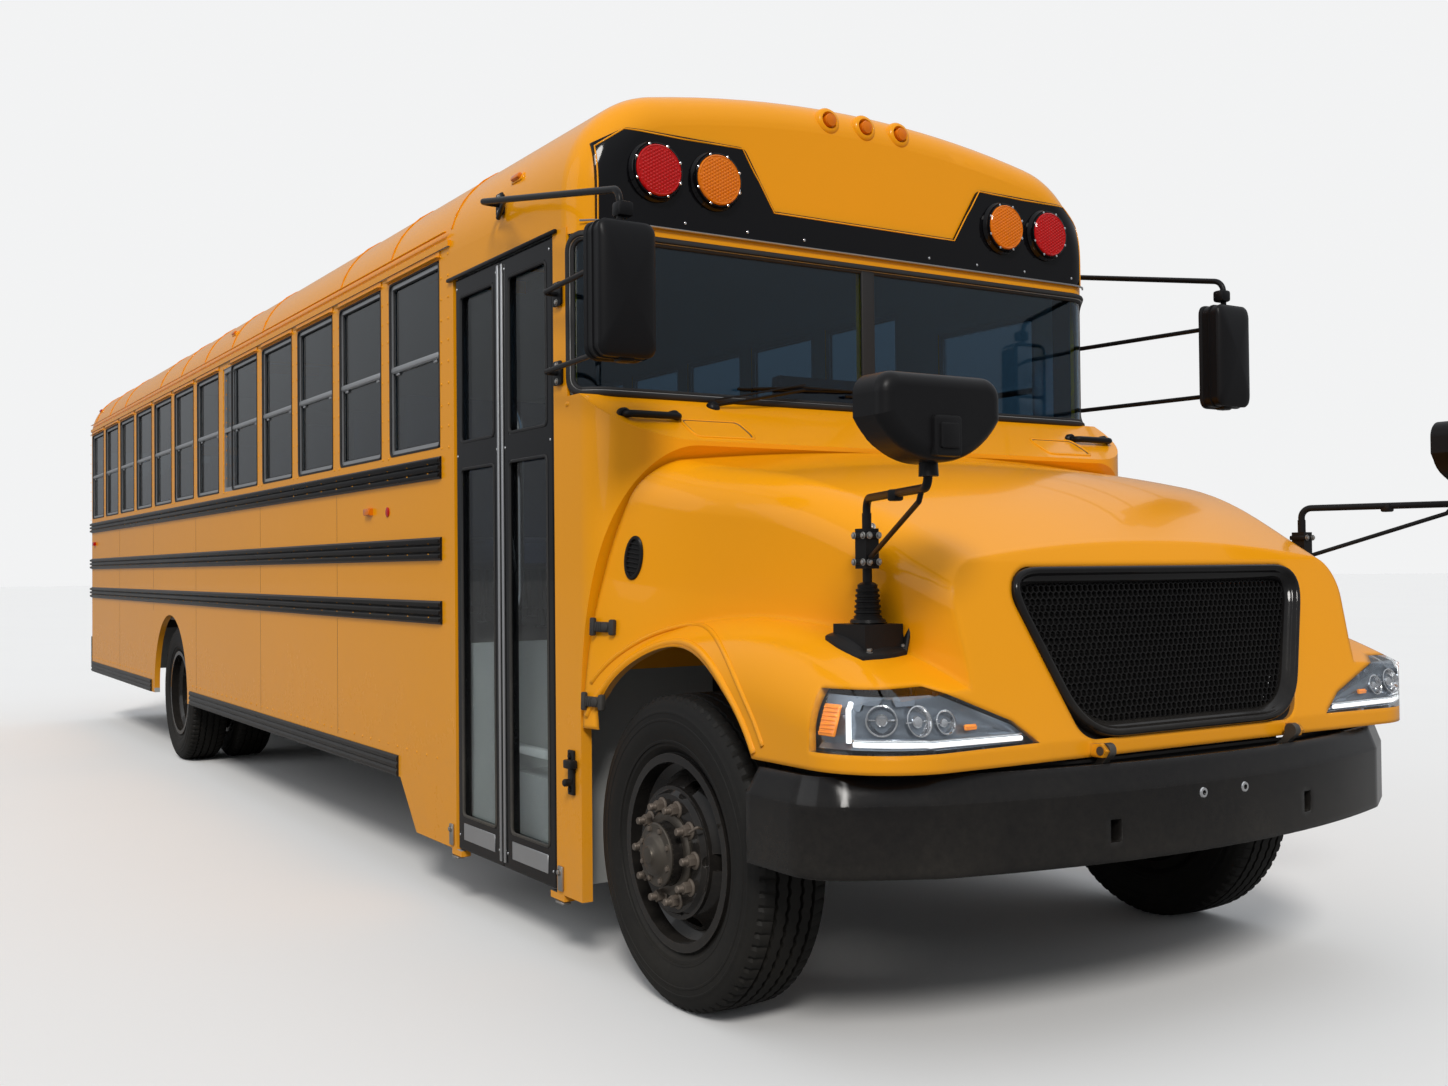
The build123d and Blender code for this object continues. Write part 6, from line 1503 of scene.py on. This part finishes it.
cabMetal.make("cabMetal", "zincSteel", "body", "window_frame", 45)
cabScreens.make("dialFaces", "panelGrey", "body", "interior_plastic", 45)
for z, y in ((0.640, -0.995), (1.050, -0.585)):
    nosing.put(spanShape((-1.585, y - 0.006, z - 0.030), (-0.700, y + 0.030, z + 0.004), 0.005, 2))
nosing.make("stepNosings", "signWhite", "body", "interior_plastic", 40)

# Roof hatches: raised ribs and rims
hatchValues = dict(rim=0.560, top=3.134, ribHalf=0.240, ribsY=(-0.20, -0.10, 0.0, 0.10, 0.20))
for word, x in zip(("Front", "Rear"), roofValues["hatches"]):
    lid = Piece()
    half = hatchValues["ribHalf"]
    for y in hatchValues["ribsY"]:
        lid.put(spanShape((x - half, y - 0.018, 3.1335), (x + half, y + 0.018, 3.1390), 0.004, 2))
    rim = roundPad(hatchValues["rim"], hatchValues["rim"], 0.050, 5)
    lid.put(ringShape(rim, [(0.0, -0.002), (0.0, 0.003), (0.006, 0.006), (0.018, 0.006), (0.024, 0.0)]),
            at(x, 0, hatchValues["top"]))
    lid.make("hatchRibs" + word, "hatchPlastic", "hatch_" + word.lower(), "hatch_plastic", 50)
print("cab and hatch details made")


# Engine bay: valve cover, manifold, charge pipe, air cleaner, fan, shroud, hoses and block ribs
engineValues = dict(top=1.330, half=0.300, fanBlades=8, canister=0.100)
castBits, darkBits, hoseBits = Piece(), Piece(), Piece()
top, half = engineValues["top"], engineValues["half"]


def pipe(points, bend, steps, radius, around):
    return tubeShape(bendPath(onBus(points), bend, steps), radius, around)


castBits.put(spanShape((-0.250, -0.168, top - 0.003), (0.470, 0.168, top + 0.009), 0.003, 1))
castBits.put(spanShape((-0.235, -0.135, top), (0.455, 0.135, top + 0.038), 0.016, 3))
for k in range(9):
    x = -0.200 + k * 0.076
    castBits.put(spanShape((x, -0.104, top + 0.03), (x + 0.016, 0.104, top + 0.045), 0.004, 2))
for side in sides:
    inner, outer = side * (half - 0.004), side * (half + 0.012)
    for k in range(8):
        castBits.put(boltShape(0.008, 0.008), at(-0.225 + k * 0.0955, side * 0.152, top + 0.009))
    for k in range(7):  # ribs down the block
        x = -0.250 + k * 0.115
        castBits.put(spanShape((x, inner, 0.760), (x + 0.016, outer, 1.300), 0.004, 2))
    castBits.put(spanShape((-0.290, inner, 0.735), (0.510, side * (half + 0.016), 0.762), 0.005, 2))
fillerCap = [(0.030, 0.0), (0.030, 0.014), (0.026, 0.018), (0.012, 0.018), (0.010, 0.026), (0, 0.026)]
castBits.put(latheShape(fillerCap, 20), at(0.400, 0.060, top + 0.036))
for k in range(6):
    x = -0.215 + k * 0.118
    darkBits.put(pipe([(x, -half + 0.004, 1.205), (x, -0.356, 1.205), (x + 0.02, -0.366, 1.150)], 0.03, 4,
                      0.020, 10))
darkBits.put(tubeShape(onBus([(-0.250, -0.368, 1.140), (0.430, -0.368, 1.140)]), 0.034, 12))
scroll = [(0.120, -0.392 + u, 1.035 + v) for u, v in circle(0.050, 20)]
castBits.put(tubeShape(onBus(scroll + scroll[:1]), 0.032, 12))
charger = [(0, -0.075), (0.034, -0.075), (0.038, -0.060), (0.038, 0.060), (0.030, 0.085), (0, 0.085)]
castBits.put(latheShape(charger, 20), facing((0.120, -0.392, 1.035), (1, 0, 0)))
hoseBits.put(pipe([(0.195, -0.392, 1.035), (0.640, -0.420, 1.035), (0.735, -0.426, 1.000),
                   (0.735, -0.372, 1.000)], 0.05, 6, 0.030, 14))
# Air cleaner on the left with straps and a pipe to the front
r = engineValues["canister"]
strap = r + 0.006
cleaner = [(0, 0), (r * 0.86, 0), (r, 0.014), (r, 0.100), (strap, 0.104), (strap, 0.124), (r, 0.128),
           (r, 0.300), (strap, 0.304), (strap, 0.324), (r, 0.328), (r, 0.400), (r * 0.80, 0.424),
           (0.046, 0.430), (0.046, 0.470), (0, 0.470)]
darkBits.put(latheShape(cleaner, 36), facing((-0.190, 0.440, 1.080), (1, 0, 0)))
hoseBits.put(pipe([(0.270, 0.440, 1.080), (0.500, 0.440, 1.090), (0.660, 0.410, 1.110)], 0.06, 6, 0.036, 14))
for x in (-0.110, 0.100):
    darkBits.put(spanShape((x, 0.398, 0.918), (x + 0.050, 0.470, 0.992), 0.005, 2))
# Fan in its shroud, between the block and the radiator
spot = facing((0.6945, 0, 0.975), (-1, 0, 0))
shroud = [(0.305, 0.0), (0.305, 0.006), (0.292, 0.012), (0.290, 0.070), (0.286, 0.070), (0.286, 0.0)]
darkBits.put(latheShape(shroud, 48), spot)
hub = [(0, 0.020), (0.066, 0.024), (0.070, 0.032), (0.070, 0.076), (0.050, 0.082), (0.034, 0.090),
       (0.034, 0.180), (0, 0.180)]
darkBits.put(latheShape(hub, 28), spot)
for k in range(engineValues["fanBlades"]):
    turn = Matrix.Rotation(2 * math.pi * k / engineValues["fanBlades"], 4, "Z")
    darkBits.put(boxShape((0.200, 0.088, 0.004), 0.0015, 1),
                 spot @ (turn @ shift(0.165, 0, 0.050) @ spin(28, "X")))
hoseBits.put(pipe([(0.500, -0.130, 1.250), (0.600, -0.130, 1.262), (0.640, -0.160, 1.250),
                   (0.697, -0.160, 1.245)], 0.02, 5, 0.024, 14))
hoseBits.put(pipe([(0.500, 0.230, 0.700), (0.600, 0.240, 0.695), (0.697, 0.240, 0.700)], 0.03, 5, 0.024, 14))
castBits.make("engineCastings", "aluminium", "body", "cast_metal", 35)
darkBits.make("engineFittings", "blackPlastic", "body", "black_trim", 35)
hoseBits.make("engineHoses", "rubber", "body", "black_trim", 40)
print("engine bay made")


# Studio: pale floor, soft lamps and the photograph's viewpoint
studio = dict(floorHalf=160.0, floorColor=(0.82, 0.82, 0.815), bounceColor=(0.30, 0.30, 0.30),
              worldStrength=0.76, horizonStrength=0.22, worldColor=(0.93, 0.96, 1.0),
              backColor=(0.89, 0.895, 0.90), keyPower=1.9, keySpread=14.0, fillPower=0.35, fillSpread=40.0,
              camera=(8.3905, -3.353, 1.341), lens=35.26, yaw=147.41, pitch=0.99, roll=-0.55)


def makeFloor():
    bm = bmesh.new()
    corners, faces = latheShape([(r, 0.0) for r in (0.0, 8.0, 16.0, 40.0, studio["floorHalf"])], 64)
    mesh = bpy.data.meshes.new("studioFloor")
    mesh.from_pydata([tuple(c) for c in corners], [], faces)
    bm.from_mesh(mesh)
    bmesh.ops.recalc_face_normals(bm, faces=bm.faces)
    for face in bm.faces:
        if face.normal.z < 0:
            face.normal_flip()
    bm.to_mesh(mesh)
    bm.free()
    floor = bpy.data.objects.new("studioFloor", mesh)
    bpy.context.scene.collection.objects.link(floor)
    material = bpy.data.materials.new("studioFloor")
    material.use_nodes = True
    tree = material.node_tree
    drift = useGroup(tree, driftGroup, {"Color": (*studio["floorColor"], 1), "Scale": 0.4,
                                        "Amount": 0.03})["Color"]
    seen = addNode(tree, "LightPath").outputs["Is Camera Ray"]
    color = mixColor(tree, seen, (*studio["bounceColor"], 1), drift)
    shader = tree.nodes["Principled BSDF"]
    for name, value in (("Base Color", color), ("Roughness", 0.9), ("Specular IOR Level", 0.0)):
        setInput(tree, shader.inputs[name], value)
    mesh.materials.append(material)


def makeWorld():
    world = bpy.data.worlds.new("studio")
    bpy.context.scene.world = world
    world.use_nodes = True
    tree = world.node_tree
    light = tree.nodes["Background"]
    height = addNode(tree, "SeparateXYZ", {0: addNode(tree, "TexCoord").outputs["Generated"]}).outputs["Z"]
    strength = addNode(tree, "MapRange", {"Value": height, "From Min": -0.05, "From Max": 0.75,
                                          "To Min": studio["horizonStrength"],
                                          "To Max": studio["worldStrength"]})
    setInput(tree, light.inputs["Color"], (*studio["worldColor"], 1))
    setInput(tree, light.inputs["Strength"], strength.outputs[0])
    seen = addNode(tree, "Background", {"Color": (*studio["backColor"], 1)})
    rays = addNode(tree, "LightPath").outputs["Is Camera Ray"]
    mixShader(tree, rays, light.outputs[0], seen.outputs[0], tree.nodes["World Output"])


def makeLamp(name, place, power, spread, color):  # a wide soft sun aimed at the middle
    data = bpy.data.lights.new(name, "SUN")
    data.energy = power
    data.angle = math.radians(spread)
    data.color = color
    lamp = bpy.data.objects.new(name, data)
    lamp.location = place
    lamp.rotation_euler = (-Vector(place)).to_track_quat("-Z", "Y").to_euler()
    bpy.context.scene.collection.objects.link(lamp)


def makeCamera():
    data = bpy.data.cameras.new("camera")
    data.lens = studio["lens"]
    data.sensor_width = 36.0
    data.clip_end = 500.0
    camera = bpy.data.objects.new("camera", data)
    yaw, pitch, roll = (math.radians(studio[k]) for k in ("yaw", "pitch", "roll"))
    ahead = Vector((math.cos(yaw) * math.cos(pitch), math.sin(yaw) * math.cos(pitch), math.sin(pitch)))
    right = Vector((math.sin(yaw), -math.cos(yaw), 0))
    up = right.cross(ahead)
    tiltedRight = right * math.cos(roll) + up * math.sin(roll)
    tiltedUp = up * math.cos(roll) - right * math.sin(roll)
    turn = Matrix((tiltedRight, tiltedUp, -ahead)).transposed().to_4x4()
    camera.matrix_world = Matrix.Translation(studio["camera"]) @ turn
    bpy.context.scene.collection.objects.link(camera)
    bpy.context.scene.camera = camera


makeFloor()
makeWorld()
makeLamp("keyLamp", (14.0, -9.0, 13.0), studio["keyPower"], studio["keySpread"], (1.0, 0.97, 0.93))
makeLamp("fillLamp", (-4.0, -14.0, 6.0), studio["fillPower"], studio["fillSpread"], (0.95, 0.97, 1.0))
makeCamera()
bpy.context.scene.view_settings.view_transform = "Standard"
print("studio set")
